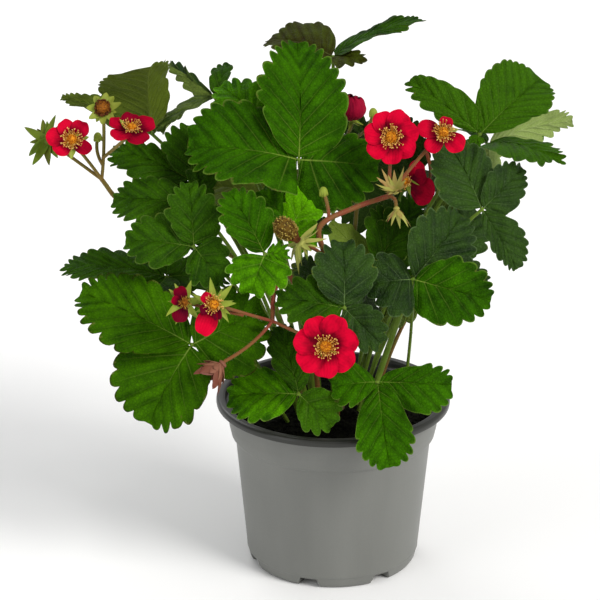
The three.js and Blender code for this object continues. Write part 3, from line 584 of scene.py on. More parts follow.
def leaflet(rng, hub, tip, face, width, roll=12, fold=14, depth=0.5, crest=0.56, blunt=1.9, pitch=6.5,
            entire=0.12, end=0.5, full=0.45, wide=1.0, back=0.0, tint=0.4, crowd=1.2):
    """The two sides of a blade. Each side vein runs straight from the midrib to the margin. Each
    half turns up by its fold; the blade rises by its bow, falls by its arch, swells between the
    veins and is roughened by seeded waves. A tooth is about pitch long and grows with depth; its tip
    lies at the share crest of its length and is rounder the more blunt it is. The share entire next
    to the foot has no teeth, and crowd packs them towards the tip. A fuller blade has its widest
    place further back, a lower end makes it blunter, wide stretches it sideways, and back carries
    the margin near the foot back. Values given in pairs are for the right and left half."""
    base, length, along, across, up = leaflet_axes(*(floats(v) for v in (hub, tip, face)),
                                                   math.radians(roll))
    teeth = int(np.clip(round(length / pitch), FEWEST_TEETH, MOST_TEETH))
    half = width / 2
    p = np.linspace(0, 1, teeth * ROWS_A_TOOTH + 1)[:, None]
    q = 1 - (1 - np.linspace(0, 1, COLUMNS_A_SIDE + 1)) ** 1.15
    q = np.concatenate([-q[:0:-1], q])[None, :]
    share, left = np.abs(q), q > 0
    wide, turn_up = halves(wide, left), np.radians(halves(fold, left))
    pace = 1 - (1 - p) ** crowd
    margin_x = 0.97 * np.sin(np.pi / 2 * pace) + 0.05 * pace ** 8
    margin_y = blade_outline(margin_x / 1.02, halves(full, left), halves(end, left)) * wide * half
    number = np.minimum((p * teeth).astype(int), teeth)
    size = rng.uniform(0.7, 1.25, (2, teeth + 1))
    size = np.where(left, size[1][number], size[0][number]) * halves(depth, left)
    push = pitch / length * size * (tooth_shape((p * teeth) % 1.0, crest, blunt) - 0.5)
    push = push * np.clip((p - entire) * 8, 0, 1) * (1 - p ** 30)
    run, climb = np.gradient(margin_x, axis=0) * length, np.gradient(margin_y, axis=0)
    stretch = np.hypot(run, climb) + 1e-6
    margin_x = margin_x + push * (0.3 - 0.9 * climb / stretch)
    margin_x = margin_x - halves(back, left) * np.sin(np.pi * np.clip(p / 0.3, 0, 1))
    margin_y = margin_y + 0.9 * push * length * run / stretch * (margin_y > 0.5)
    root = 1.02 * p ** 1.65
    x = root + (margin_x - root) * share ** 1.05
    y = share * np.maximum(margin_y, 0)
    spread = y / half
    height = 4 * BOW * length * x * (1 - x) - ARCH * half * spread ** 2
    a, b, c, d = rng.uniform(0, 2 * np.pi, 4)
    ripple = np.sin(2 * np.pi * 1.3 * p + a + 1.7 * left) + 0.6 * np.sin(2 * np.pi * 2.7 * p + b + 2.1 * left)
    height = height + WAVE * length * ripple * share ** 2 * np.sin(np.pi * p) ** 0.3
    far, off = x * length, np.sign(q) * y
    bumps = np.sin(0.42 * far + 0.21 * off + c) * np.sin(0.36 * off - 0.13 * far + d)
    bumps = bumps + 0.5 * np.sin(0.8 * off + 0.5 * far + a)
    height = height + ROUGHNESS * bumps * share ** 0.5 * np.sin(np.pi * p) ** 0.5
    off_vein = 0.5 - np.abs((p * teeth + VEIN_PHASE) % 1.0 - 0.5)
    quilt = QUILT_HEIGHT * min(1.0, length / QUILT_FULL_LENGTH) * (off_vein * 2) ** 0.75
    quilt = quilt * np.sin(np.pi * share ** 0.8) ** 0.7
    groove = 0.2 * np.exp(-(share / 0.05) ** 2)
    rise = height + quilt - groove * np.sin(np.pi * p) ** 0.5
    thick = BLADE_THICKNESS * (1 - share ** 6) * np.minimum(1, 6 * (1 - p)) * np.ones_like(x)
    uv = spots(p * teeth, q)
    reach = np.maximum(p, 0.7 * share)
    sides = []
    for lift, finish in ((rise, 0), (rise - thick, 1)):
        out = np.sign(q) * (y * np.cos(turn_up) - lift * np.sin(turn_up))
        out = np.where(share == 0, 0.0, out)
        high = y * np.sin(turn_up) + lift * np.cos(turn_up)
        points = base + along * far[..., None] + across * out[..., None] + up * high[..., None]
        sides.append(surface(points, uv, finish, halves(tint, left), flip=finish == 0, reach=reach))
    return sides


# %% [markdown]
# ## Stalks
#
# A stalk is a round tube along its route, a little thinner towards its end. Leaf stalks leave the
# soil steeply and bend out to the hub. Strawberry stalks carry long soft hairs that stand straight
# out; each is a slim four-faced spike with its root in the stalk.

# %% Tubes and hairs
TUBE_SIDES = 10
HAIR_THICKNESS = 0.07


def ends_twice(rows):
    """Rows with the first and the last one given twice."""
    return np.concatenate([rows[:1], rows, rows[-1:]])


def tube(route, radii, finish=2, tint=0.0):
    """A tube of rings round a route, with a flat cap at each end."""
    ahead = unit(np.gradient(route, axis=0))
    side = np.array([1.0, 0.1, 0.0])
    sides = []
    for direction in ahead:
        side = unit(side - direction * side.dot(direction))
        sides.append(side)
    tint = ends_twice(np.broadcast_to(tint, len(route)))[:, None]
    radii = np.concatenate([[0.0], np.broadcast_to(radii, len(route)), [0.0]])
    side = np.array(sides)
    route, side, other = (ends_twice(rows) for rows in (route, side, np.cross(ahead, side)))
    turn = np.linspace(0, 2 * np.pi, TUBE_SIDES + 1)
    points = route[:, None] + ring_of(side[:, None], other[:, None], turn) * radii[:, None, None]
    uv = spots(np.linspace(0, 1, len(route))[:, None], turn / (2 * np.pi))
    return surface(points, uv, finish, tint, flip=True)


def hairs(rng, route, radii, count, length, finish=3):
    """Slim spikes that stand out of a tube at random places, each a closed four-faced cone."""
    radii = np.broadcast_to(radii, len(route)).astype(float)
    spot = rng.random(count) * (len(route) - 1.001)
    low = spot.astype(int)
    part = (spot - low)[:, None]
    centre = route[low] * (1 - part) + route[low + 1] * part
    ahead = unit(route[low + 1] - route[low])
    out = unit(np.cross(ahead, unit(rng.normal(size=(count, 3)))))
    across = np.cross(ahead, out)
    root = centre + out * (radii[low] * 0.7)[:, None]
    lean = unit(out + 0.25 * rng.normal(size=(count, 3)))
    tip = root + lean * (length * (0.6 + 0.6 * rng.random(count)))[:, None]
    feet = [root + HAIR_THICKNESS * (math.cos(a) * ahead + math.sin(a) * across) for a in (0, 2.09, 4.19)]
    points = np.stack(feet + [tip], axis=1).reshape(-1, 3)
    first = np.arange(count)[:, None] * 4
    faces = np.concatenate([first + np.array(f) for f in ((0, 2, 1), (0, 1, 3), (1, 2, 3), (2, 0, 3))])
    return dict(points=points, faces=faces, uv=np.zeros((len(points), 2)), tint=np.zeros(len(points)),
                finish=finish)


def bezier(start, bend, end, steps):
    """A curve with one bend, as in the solid model."""
    t = np.linspace(0, 1, steps + 1)[:, None]
    return (1 - t) ** 2 * start + 2 * t * (1 - t) * bend + t ** 2 * end


# %% [markdown]
# ## Whole leaves
#
# No two leaves of a plant are alike: young ones are small and bright, old ones dark or russet, and
# some show a paler underside. Each leaf is grown by one function from its row in the table, and a
# second table holds only what differs: its green, its tint from dark to fresh, its teeth, and the
# outline of each leaflet, first the middle one and then the two at its sides. Extra leaflets stand
# in for leaves further back, of which only small parts show, and a shoot is one more stalk.

# %% How each leaf differs
LEAF_LOOKS = dict(
    leaf_top=dict(tint=0.42, pitch=7.2, leaflets=(
        dict(full=(1.6, 1.2), wide=(1.14, 1.03), back=(0.05, 0.0), fold=(20, 14)),
        dict(back=(0.0, 0.24), full=(0.5, 1.9), wide=(1.16, 1.05), end=(0.3, 0.45), tint=0.34),
        dict(wide=(1.32, 0.9), back=(0.24, 0.0), full=(1.4, 1.1), fold=(2, -14), tint=0.36))),
    leaf_crest=dict(finish="mid", other="russet", depth=0.4, pitch=5.0, leaflets=(
        dict(other=True, tint=0.25, wide=(1.2, 1.0)),
        dict(wide=(1.1, 0.8), full=(1.9, 1.0), end=0.3, tint=0.3),
        dict(other=True, wide=(1.5, 0.9), tint=0.5))),
    leaf_left_low=dict(finish="aged", pitch=7.4, crest=0.52, blunt=2.6, leaflets=(
        dict(wide=(0.96, 1.0), full=(1.0, 0.9)),
        dict(wide=(1.10, 0.88), full=(0.7, 1.1), end=(0.40, 0.42), back=0.05, crowd=1.6),
        dict(wide=(1.3, 1.0)))),
    leaf_left_mid=dict(finish="mid"),
    leaf_left_dark=dict(tint=0.55, finish="mid", leaflets=(
        dict(wide=(0.85, 1.0)), {}, dict(wide=1.3, full=1.2)), extra=[([-60, 10, 161], 28, 5)]),
    leaf_left_upper=dict(leaflets=(dict(wide=(0.9, 1.5)), dict(wide=(0.8, 1.4)), {})),
    leaf_left_lower=dict(leaflets=(dict(wide=(1.0, 1.35)), {}, {})),
    leaf_front_right=dict(tint=0.55, finish="bright", depth=0.42, entire=0.32, full=-0.1, blunt=2.3,
        leaflets=({}, dict(wide=0.94, end=0.45, full=-0.1), dict(wide=(1.0, 0.62), end=0.42, full=0.1))),
    leaf_front_left=dict(tint=0.15, finish="young", other="mid", entire=0.2, full=0.6, leaflets=(
        dict(wide=(1.05, 1.25)), dict(other=True, tint=0.4, depth=0.25), dict(other=True, tint=0.7))),
    leaf_young=dict(tint=0.25, finish="young", other="bright", leaflets=(
        dict(other=True, tint=0.45), {}, {})),
    leaf_young_back=dict(depth=0.45, finish="young", leaflets=(
        dict(roll=6, fold=6, tint=0.25), dict(roll=6, fold=6, tint=0.85, wide=1.1), dict(tint=0.5, wide=1.5),
        dict(other=True, tint=0.3)), other="mid", extra=[([-4, 15, 193], 20, 5)]),
    leaf_behind_top=dict(tint=0.25, finish="young", blunt=2.4),
    leaf_right_high=dict(tint=1.0, depth=0.26, pitch=5.0, leaflets=(
        dict(wide=(0.95, 0.70), fold=10, depth=(0.08, 0.45), pitch=8.0, full=(1.7, -0.1)),
        dict(wide=(0.84, 1.08), full=(-0.8, 0.0), end=0.36), {})),
    leaf_right_far=dict(tint=0.8, under="pale", leaflets=(
        dict(wide=0.85, roll=-60, fold=6), dict(roll=20, wide=(1.6, 1.0), fold=12), {}),
        extra=[([88, 35, 215], 20, 170)]),
    leaf_right=dict(tint=0.6, depth=0.34, pitch=5.2, leaflets=(
        dict(wide=(1.25, 1.65), full=(1.0, 1.5)), dict(wide=0.95), dict(wide=(0.7, 1.35), full=0.5))),
    # Its left half is painted lighter and its right half darker: painted light and shade on the two halves of
    # the folded blade.
    leaf_left_pale=dict(tint=(0.7, 1.0), depth=0.3, pitch=5.0, leaflets=(
        dict(wide=(1.04, 0.70), full=(-1.2, 1.2), end=(0.26, 0.42)), {}, {})),
    leaf_left_high=dict(tint=0.4, finish="two-toned", other="mid", under="pale", leaflets=(
        dict(fold=(25, 5), wide=(0.5, 1.0), tint=(0.05, 1.0), full=(1.2, 2.6)),
        dict(other=True, depth=0.3, blunt=2.6, wide=(0.8, 1.3), tint=0.3),
        dict(wide=(1.25, 0.6), tint=0.25))),
    leaf_centre=dict(other="mid", leaflets=({}, dict(other=True), dict(wide=(1.2, 1.0))),
                     extra=[([-18, -30, 186], 22, 10), ([22, -23, 161], 22, 10)]),
    leaf_centre_back=dict(under="lime", leaflets=(
        dict(depth=0.05, tint=0.8, wide=1.1, roll=186, full=1.2), dict(wide=(1.4, 1.05)), {}),
        extra=[([47, 39, 198], 24, 10)]),
    leaf_right_mid=dict(tint=0.35, other="dark", leaflets=(
        dict(other=True), {}, dict(other=True, wide=(1.1, 1.5))),
        shoots=[([16, -20, 86], [30, -22, 138], [42, -33.5, 176.6], 1.9)]),
    leaf_right_back=dict(flush=0.9, other="two-toned", leaflets=(
        {}, {}, {}, dict(other=True, tint=0.9), dict(other=True, tint=0.5)),
        extra=[([26, 8, 132], 22, 10), ([60, 44, 199], 24, 10)],
        shoots=[([38, 0, 86], [44, 4, 128], [42, -33, 176.3], 1.0)]),
    leaf_back_right=dict(under="deep", extra=[([4, 55, 241], 24, 10), ([40, 60, 238], 28, 10),
                                              ([5, 59, 182], 34, 60)]),
)
print("leaves with looks of their own:", len(LEAF_LOOKS))

# %% Whole leaves
SOIL_TOP = 87.0
STALK_SINK = 9.0
FOOT_HEIGHT = SOIL_TOP - STALK_SINK + 0.3
STALK_RADIUS = 1.25
STALK_END = 0.95
STALK_HAIRS = 110
SHOOT_HAIRS = 60
HAIR_LENGTH = 1.5
NECK_RADII = np.array([1.0, 0.8, 0.65, 0.55, 0.4])
SECOND_UPPER = 4
SPREAD_STEPS = 22


def foot_place(turn, radius):
    """Where a stalk starts in the soil."""
    turn = math.radians(turn)
    return np.array([radius * math.cos(turn), radius * math.sin(turn), FOOT_HEIGHT])


def leaf_route(hub, foot):
    """A leaf stalk's route: steep out of the soil, then over to the hub."""
    start = foot_place(*foot)
    bend = start + (hub - start) * np.array([0.32, 0.32, 0.68])
    return bezier(start, bend, hub, SPREAD_STEPS)


def side_form(along, face, middle):
    """The middle leaflet is even; a side leaflet has a fuller, wider half away from the middle one."""
    if middle is None:
        return dict(full=(1.0, 1.0), wide=(1.03, 1.03))
    outer, inner = (1.7, 1.12, 0.05), (1.1, 0.98, 0.0)
    right, left = (outer, inner) if np.cross(face, along).dot(middle) > 0 else (inner, outer)
    return dict(zip(("full", "wide", "back"), zip(right, left)))


def make_leaf(number, name, green, hub, face, foot, leaflets):
    """Three leaflets, the short necks that join them at the hub, and the hairy stalk."""
    rng = np.random.default_rng(100 + number)
    hub, face = floats(hub), unit(floats(face))
    look = dict(LEAF_LOOKS.get(name, {}))
    tint = look.pop("tint", 0.5)
    under = look.pop("under", "olive")
    flush = look.pop("flush", 0.0)
    upper = look.pop("finish", green)
    extra, shoots = look.pop("extra", []), look.pop("shoots", [])
    own = look.pop("leaflets", ({}, {}, {})) + ({},) * len(extra)
    other = look.pop("other", upper)
    parts, first = [], None
    for (tip, width, *rest), shape in zip([*leaflets, *extra], own):
        form = {"roll": rest[0] if rest else 12, **(rest[1] if len(rest) > 1 else {})}
        along = unit(floats(tip) - hub)
        shape = dict(shape)
        tone, shift = shape.pop("tint", tint), 0.16 * (rng.random() - 0.5)
        tone = tuple(t + shift for t in tone) if isinstance(tone, tuple) else tone + shift
        second = shape.pop("other", False)
        form = {**side_form(along, face, first), **look, **form, **shape}
        first = along if first is None else first
        blade = leaflet(rng, hub, tip, face, width, tint=tone, **form)
        if second:
            blade[0]["finish"] = SECOND_UPPER
        parts += blade
        neck = np.linspace(0, 1, 5)[:, None] * along * 3.2 + hub - face * 0.45
        parts.append(tube(neck, NECK_RADII))
    route = leaf_route(hub, foot)
    route = route - face * 0.4 * np.linspace(0, 1, SPREAD_STEPS + 1)[:, None] ** 4
    radii = np.linspace(STALK_RADIUS, STALK_END, len(route))
    parts.append(tube(route, radii, tint=flush))
    parts.append(hairs(rng, route[4:], radii[4:], STALK_HAIRS, HAIR_LENGTH))
    for start, bend, end, girth in shoots:
        shoot = bezier(*(floats(v) for v in (start, bend, end)), 14)
        parts.append(tube(shoot, np.linspace(girth, 0.8 * girth, len(shoot))))
        parts.append(hairs(rng, shoot, girth, SHOOT_HAIRS, HAIR_LENGTH))
    finishes = [LEAF_FINISHES[upper], UNDERSIDES[under], LEAF_STALK, HAIR, LEAF_FINISHES[other]]
    make_piece(name, parts, finishes)


for number, row in enumerate(LEAVES):
    make_leaf(number, *row)
print("leaves:", len(LEAVES))

# %% [markdown]
# ## Where the flowers are
#
# A flower is known by its middle, the way it faces, the reach of its petals, the size of its heart,
# and the reach, number, droop and finish of its sepals. Stars are the green or dry sepals of flowers
# whose petals have all dropped; a star may open another way than its stalk ends.

# %% Table of flowers
BLOOMS = dict(
    front=dict(centre=[-5, -80, 158], face=[-0.05, -0.95, 0.28], radius=17.4, heart=6, star=11, droop=0.3),
    centre=dict(centre=[30, -14, 251], face=[-0.02, -0.93, 0.36], radius=15.3, heart=6, star=10, droop=0.35),
    torn=dict(centre=[58, -6, 251], face=[0.1, -0.85, 0.5], radius=13, heart=5.5, star=9, finish=4,
              tint=0.15),
    side=dict(centre=[40, 4, 220], face=[-0.7, -0.6, 0.35], radius=14, heart=4, star=7, cup=0.45),
    closed=dict(centre=[10, 26, 248], face=[0.1, -0.2, 0.97], star=6),
    left=dict(centre=[-141, 0, 245], face=[0.15, -0.8, 0.58], radius=12.5, heart=5.5, star=10),
    low_left=dict(centre=[-108, -9, 254], face=[0.1, -0.4, 0.91], radius=13.5, heart=5, star=9),
    faded=dict(centre=[-79, -66, 177], face=[0.2, -0.9, 0.35], radius=9, heart=3.6, cup=0.5, star=12,
               sepals=7),
    dropping=dict(centre=[-63, -69, 177], face=[-0.1, -0.92, 0.35], radius=12, heart=5, cup=0.3, star=13,
                  sepals=7, slim=0.9),
    back=dict(centre=[-12, 66, 238], face=[-0.2, 0.85, 0.5], radius=15, heart=5.5, star=10),
)
STARS = dict(
    seed_head=dict(centre=[-124, 3, 262], face=[0, -0.85, 0.52], heart=5.2, star=10, sepals=8, tint=0.1,
                   slim=1.6, blunt=0.55),
    turned=dict(centre=[-155, 8, 242], face=[-0.3, -0.85, 0.4], star=14, sepals=9, droop=-0.1, tint=0.3,
                slim=1.05, blunt=0.7, finish=3),
    dried=dict(centre=[-60, -70, 143], face=[-0.66, -0.5, -0.55], opens=[-0.72, -0.30, -0.62], star=10.5,
               sepals=10, droop=-1.1, tint=0.5, slim=2.4, blunt=0.7, finish=5),
    spent_low=dict(centre=[33, -27, 214], face=[0.1, -0.7, -0.7], opens=[0.05, -0.4, -0.9], star=7,
                   sepals=9, droop=-1.1, tint=0.4, slim=1.2, finish=4),
    spent_high=dict(centre=[32, -27, 226], face=[-0.3, -0.85, 0.45], opens=[-0.25, -0.45, 0.86], star=8.5,
                    sepals=10, droop=-1.0, tint=0.4, slim=1.1, finish=4),
)
FRUIT = dict(centre=[-19, -41, 202], face=[-0.62, -0.3, 0.72], star=13, sepals=10, droop=0.35, tint=0.1,
             slim=0.65, finish=4)
print("flowers with petals:", len(BLOOMS), "stars:", len(STARS))

# %% [markdown]
# ## Petals
#
# The petals are deep crimson, nearly round, slightly cupped and waved at the edge, and each lies
# over its neighbour on one side and under it on the other. The colour is darkest near the middle
# and brightens to the rim, with faint veins that fan out from the base.

# %% Petal finish
WINE = (0.045, 0.0005, 0.010)


def petal_finish(name, deep, bright):
    """Crimson that brightens towards the rim, with soft blotches, fan veins and a dark wine base."""
    material, tree, shader = new_material(name, 0.6, Specular_IOR_Level=0.03)
    places = add(tree, "ShaderNodeUVMap", uv_map="Surface").outputs[0]
    places = add(tree, "ShaderNodeSeparateXYZ", {0: places})
    out, across = places.outputs[0], places.outputs[1]
    cloud = noise(tree, object_place(tree), 190.0, 4.0)
    wobble = maths(tree, "MULTIPLY_ADD", cloud, 6.0, maths(tree, "MULTIPLY", across, 24.0))
    fan = maths(tree, "SINE", wobble)
    factor = maths(tree, "MULTIPLY_ADD", cloud, 1.9, -0.98)
    factor = maths(tree, "ADD", factor, ramp_of(tree, out, 0.22, 0.72))
    factor = maths(tree, "MULTIPLY_ADD", fan, 0.04, factor, clamp=True)
    colour = blend_colours(tree, factor, deep, bright)
    colour = blend_colours(tree, maths(tree, "MULTIPLY", attribute(tree, "tint"), 0.9), colour, WINE)
    tree.links.new(colour, shader.inputs["Base Color"])
    height = maths(tree, "MULTIPLY_ADD", cloud, 3.0, maths(tree, "MULTIPLY", fan, 0.3))
    bump(tree, shader, height, 0.5, 0.0003)
    return material


PETAL_UPPER = petal_finish("petal upper", (0.135, 0.0005, 0.008), (0.61, 0.0008, 0.026))
PETAL_UNDER = petal_finish("petal back", (0.22, 0.004, 0.02), (0.48, 0.008, 0.04))

# %% Petals
PETAL_ROWS = 16
PETAL_COLUMNS = 14
PETAL_TILT = 0.08


def bloom_frame(face):
    """Right, top and out of a flower that faces one way."""
    out = unit(floats(face))
    side = unit(np.cross([0, 0, 1], out))
    return side, np.cross(out, side), out


def spoke(axes, angle):
    """The direction of a petal or sepal in its flower, and the one across it."""
    side, other, out = axes
    turn = math.radians(angle)
    along = side * math.cos(turn) + other * math.sin(turn)
    return along, np.cross(out, along), out


def thin_shell(points, out, thick, uv, finishes, tint):
    """The upper and lower side of a thin blade, half its thickness above and below its points."""
    return [surface(points + out * (thick / 2)[..., None], uv, finishes[0], tint, flip=True),
            surface(points - out * (thick / 2)[..., None], uv, finishes[1], tint)]


def petal(rng, middle, axes, radius, angle, cup, wide, tint):
    """A round petal: an ellipse whose widest place lies past its middle, notched and ruffled at the
    end. It cups with the square of its reach, and tilts across so that its left edge lies above the
    next petal's right edge. Seeded waves crumple it."""
    along, across, out = spoke(axes, angle)
    x, t = shares(PETAL_ROWS, PETAL_COLUMNS)
    notch, a, b, c = rng.uniform(-0.1, 0.1), *rng.uniform(0, 2 * np.pi, 3)
    share = (1 - np.cos(np.pi * x)) / 2
    width = wide * 2 * np.sqrt(share ** 1.3 * (1 - share ** 1.3) + 1e-9) + 0.03 * (1 - share)
    y = width * t * (1 + 0.03 * np.sin(11 * x + b))
    ruffle = 0.02 * np.sin(11 * y + a) - 0.02 * np.exp(-((y - notch) / 0.10) ** 2)
    reach = 0.08 + 0.94 * share + ruffle * share ** 5
    crumple = 0.045 * np.sin(4.2 * y / wide + a) * share ** 2
    crumple = crumple + 0.03 * np.sin(6 * share + b) * np.sin(3.1 * t + c)
    height = cup * reach ** 2 + PETAL_TILT * y + crumple
    height = height - 0.09 * share ** 5 - 0.10 * (1 - t ** 2) * share * (1 - share)
    points = middle + radius * (along * reach[..., None] + across * y[..., None] + out * height[..., None])
    thick = 0.3 * np.minimum(1, 8 * (1 - x)) * (1 - t ** 8)
    return thin_shell(points, out, thick, spots(share, t), (0, 1), tint)


def folded_petal(rng, middle, axes, radius, angle, tint):
    """One petal of a flower that has closed: a patch of a squat ball, from its foot to past its top,
    which winds out a little so that each petal laps over the next."""
    side, other, out = axes
    x, t = shares(PETAL_ROWS, PETAL_COLUMNS)
    fall = np.radians(168 - (150 + 12 * rng.normal()) * x - 10 * (t - 0.3) ** 2 * x)
    turn = math.radians(angle) + np.radians(58) * t * np.sin(np.pi * np.clip(0.12 + 0.80 * x, 0, 1)) ** 0.5
    a = rng.uniform(0, 6)
    size = radius * (0.96 + 0.07 * t + 0.06 * np.sin(5 * t + a) * x)
    ring = ring_of(side, other, turn)
    points = middle + ring * (size * np.sin(fall))[..., None] + out * (0.86 * size * np.cos(fall))[..., None]
    inside = unit(points - middle) * 0.3
    uv = spots(0.35 + 0.65 * x, t)
    return [surface(points, uv, 1, tint), surface(points - inside, uv, 0, tint, flip=True)]


PETAL_BACK = 0.6
PETAL_CUP = 0.16
EVEN_PETALS = [(angle, 1.0, 0.405, 0.0) for angle in (14, 66, 117, 168, 220, 271, 323)]
FOLDED_RADIUS = 8.0
PETAL_LOOKS = dict(
    # angle anticlockwise from the right, reach, half width, share of wine red
    torn=[(165, 1.10, 0.36, 0.12), (228, 1.10, 0.34, 0.05), (316, 1.12, 0.40, 0.0), (70, 0.72, 0.42, 0.4)],
    side=[(54, 1.05, 0.34, 0.0), (-22, 1.35, 0.42, 0.5), (25, 0.9, 0.36, 0.7)],
    left=[(108, 0.95, 0.42, 0.05), (50, 1.0, 0.40, 0.30), (168, 1.12, 0.40, 0.0), (216, 1.0, 0.42, 0.10),
          (322, 1.0, 0.34, 0.35)],
    low_left=[(20, 1.05, 0.46, 0.45), (85, 0.9, 0.40, 0.75), (145, 1.0, 0.40, 0.40), (212, 1.05, 0.42, 0.25),
              (285, 1.05, 0.46, 0.55)],
    faded=[(110, 1.0, 0.40, 0.85), (165, 0.8, 0.36, 0.7), (252, 1.2, 0.40, 0.9)],
    dropping=[(246, 1.45, 0.32, 0.0), (140, 0.75, 0.36, 0.35), (205, 0.7, 0.34, 1.0), (285, 0.7, 0.3, 1.0)],
)
PETAL_FACES = dict(side=[-0.30, -0.88, 0.30], faded=[0.0, -0.95, 0.3], dropping=[0.0, -0.95, 0.3])


def make_petals(number, name, bloom):
    """All the petals of one flower."""
    rng = np.random.default_rng(300 + number)
    axes = bloom_frame(PETAL_FACES.get(name, bloom["face"]))
    middle = floats(bloom["centre"])
    parts = []
    if name == "closed":
        ball = middle + axes[2] * FOLDED_RADIUS - axes[0] * 1.2
        for k in range(5):
            parts += folded_petal(rng, ball, axes, FOLDED_RADIUS, 72 * k - 20, 0.45 + 0.25 * (k % 2))
    else:
        for angle, far, wide, tint in PETAL_LOOKS.get(name, EVEN_PETALS):
            radius = bloom["radius"] * far * (0.93 + 0.08 * rng.random())
            parts += petal(rng, middle, axes, radius, angle, bloom.get("cup", PETAL_CUP), wide, tint)
    make_piece("petals_" + name, parts, [PETAL_UPPER, PETAL_UNDER])


for number, (name, bloom) in enumerate(BLOOMS.items()):
    make_petals(number, name, bloom)
print("blooms:", len(BLOOMS))

# %% [markdown]
# ## Hearts
#
# In the middle of a flower sits a small cone covered in pistils, and round it stands a ring of
# stamens with yellow anthers. Each pistil and each anther is a tiny closed bead of twenty faces,
# placed by the golden angle on the cone and evenly with some scatter in the ring.

# %% Beads
GOLDEN_ANGLE = math.pi * (3 - math.sqrt(5))


def beads(centres, directions, lengths, widths, finish, tint=0.0, sides=5, rings=4):
    """Many egg-shaped beads at once: a bead is a small sphere stretched along its direction."""
    count = len(centres)
    directions = unit(directions)
    side = unit(np.cross(directions, np.array([0.31, 0.77, 0.55])))
    other = np.cross(directions, side)
    fall = np.linspace(0, np.pi, rings + 1)
    turn = np.linspace(0, 2 * np.pi, sides, endpoint=False)
    lengths = np.broadcast_to(lengths, count)[:, None, None, None]
    widths = np.broadcast_to(widths, count)[:, None, None, None]
    ring = ring_of(side[:, None, None], other[:, None, None], turn)
    body = np.sin(fall)[None, 1:-1, None, None] * widths * ring
    rise = -np.cos(fall)[None, 1:-1, None, None] * lengths * directions[:, None, None]
    body = (centres[:, None, None] + body + rise).reshape(count, -1, 3)
    reach = directions * lengths[:, 0, 0]
    ends = np.stack([centres - reach, centres + reach], axis=1)
    points = np.concatenate([body, ends], axis=1)
    own = (rings - 1) * sides
    pairs = [(k, (k + 1) % sides) for k in range(sides)]
    quads = [(r + a, r + b, r + sides + b, r + sides + a)
             for r in range(0, (rings - 2) * sides, sides) for a, b in pairs]
    caps = [(b, a, own) for a, b in pairs]
    caps += [(own - sides + a, own - sides + b, own + 1) for a, b in pairs]
    first = np.arange(count)[:, None] * (own + 2)
    whole = []
    for faces in (quads, caps):
        whole.append(dict(points=points.reshape(-1, 3), uv=np.zeros((points.size // 3, 2)),
                          faces=np.concatenate([first + np.array(f) for f in faces]),
                          tint=np.broadcast_to(tint, (points.size // 3,)), finish=finish))
    return whole


def plain_finish(name, low, high, roughness=0.6, scale=900.0, **sockets):
    """A small part's finish: fine noise between two colours."""
    material, tree, shader = new_material(name, roughness, **sockets)
    grain = noise(tree, object_place(tree), scale)
    colour = blend_colours(tree, ramp_of(tree, grain, 0.35, 0.65), low, high)
    tree.links.new(colour, shader.inputs["Base Color"])
    bump(tree, shader, grain, 0.4, 0.0003)
    return material


PISTIL = plain_finish("pistils", (0.36, 0.09, 0.002), (0.80, 0.36, 0.02), Specular_IOR_Level=0.15)
ANTHER = plain_finish("anthers", (0.42, 0.17, 0.02), (0.85, 0.55, 0.16), scale=1500.0, Specular_IOR_Level=0.2)
FILAMENT = plain_finish("filaments", (0.50, 0.18, 0.01), (0.75, 0.42, 0.06), Specular_IOR_Level=0.2)
DRY_ANTHER = plain_finish("dry anthers", (0.030, 0.008, 0.004), (0.14, 0.045, 0.012), Specular_IOR_Level=0.05)
DRY_PISTIL = plain_finish("dry pistils", (0.15, 0.045, 0.006), (0.36, 0.13, 0.012), Specular_IOR_Level=0.1)
STAMENS = 62
PISTILS = 90


def make_heart(number, name, bloom):
    """A cone of pistils and a ring of stamens that lean outwards."""
    rng = np.random.default_rng(500 + number)
    side, other, out = bloom_frame(bloom["face"])
    heart = bloom["heart"]
    petals = "radius" in bloom
    middle = floats(bloom["centre"]) + out * (PETAL_BACK if petals else -PETAL_BACK / 2)
    cone = (0.42 if petals else 0.62) * heart
    share = (np.arange(PISTILS) + 0.5) / PISTILS
    fall = np.arccos(1 - share)
    turn = np.arange(PISTILS) * GOLDEN_ANGLE
    outwards = np.sin(fall)[:, None] * ring_of(side, other, turn) + np.cos(fall)[:, None] * out
    stretch = cone * (np.sin(fall) ** 2 + 1.25 * np.cos(fall) ** 2)[:, None]
    centres = middle + outwards * stretch * rng.uniform(0.92, 1.08, (PISTILS, 1))
    parts = beads(centres, outwards, 0.12 * heart, 0.055 * heart, 0)
    parts += beads(middle[None] + out * 0.08 * heart, out[None], cone * 1.1, cone * 0.95, 0,
                   sides=16, rings=10)
    turn = (np.arange(STAMENS) + 1.6 * rng.random(STAMENS)) * 2 * np.pi / STAMENS
    ring = ring_of(side, other, turn)
    lean = unit(ring * rng.uniform(0.5, 1.3, (STAMENS, 1)) + out * rng.uniform(0.15, 0.9, (STAMENS, 1)))
    feet = middle + ring * cone * 0.85
    length = heart * rng.uniform(0.22, 0.92, (STAMENS, 1)) * (1.0 if petals else 0.45)
    tips = feet + lean * length
    parts += beads((feet + tips) / 2, lean, length[:, 0] * 0.55, 0.024 * heart, 1, sides=4, rings=3)
    plump = 1.0 if petals else 1.9
    parts += beads(tips, np.cross(lean, out) + 0.8 * rng.normal(size=(STAMENS, 3)), 0.096 * plump * heart,
                   0.060 * plump * heart, 2)
    fresh = petals and name != "faded"
    finishes = [PISTIL if fresh else DRY_PISTIL, FILAMENT, ANTHER if fresh else DRY_ANTHER]
    make_piece("heart_" + name, parts, finishes)


HEARTS = {name: bloom for name, bloom in {**BLOOMS, **STARS}.items() if bloom.get("heart")}
for number, (name, bloom) in enumerate(HEARTS.items()):
    make_heart(number, name, bloom)
print("hearts:", len(HEARTS))

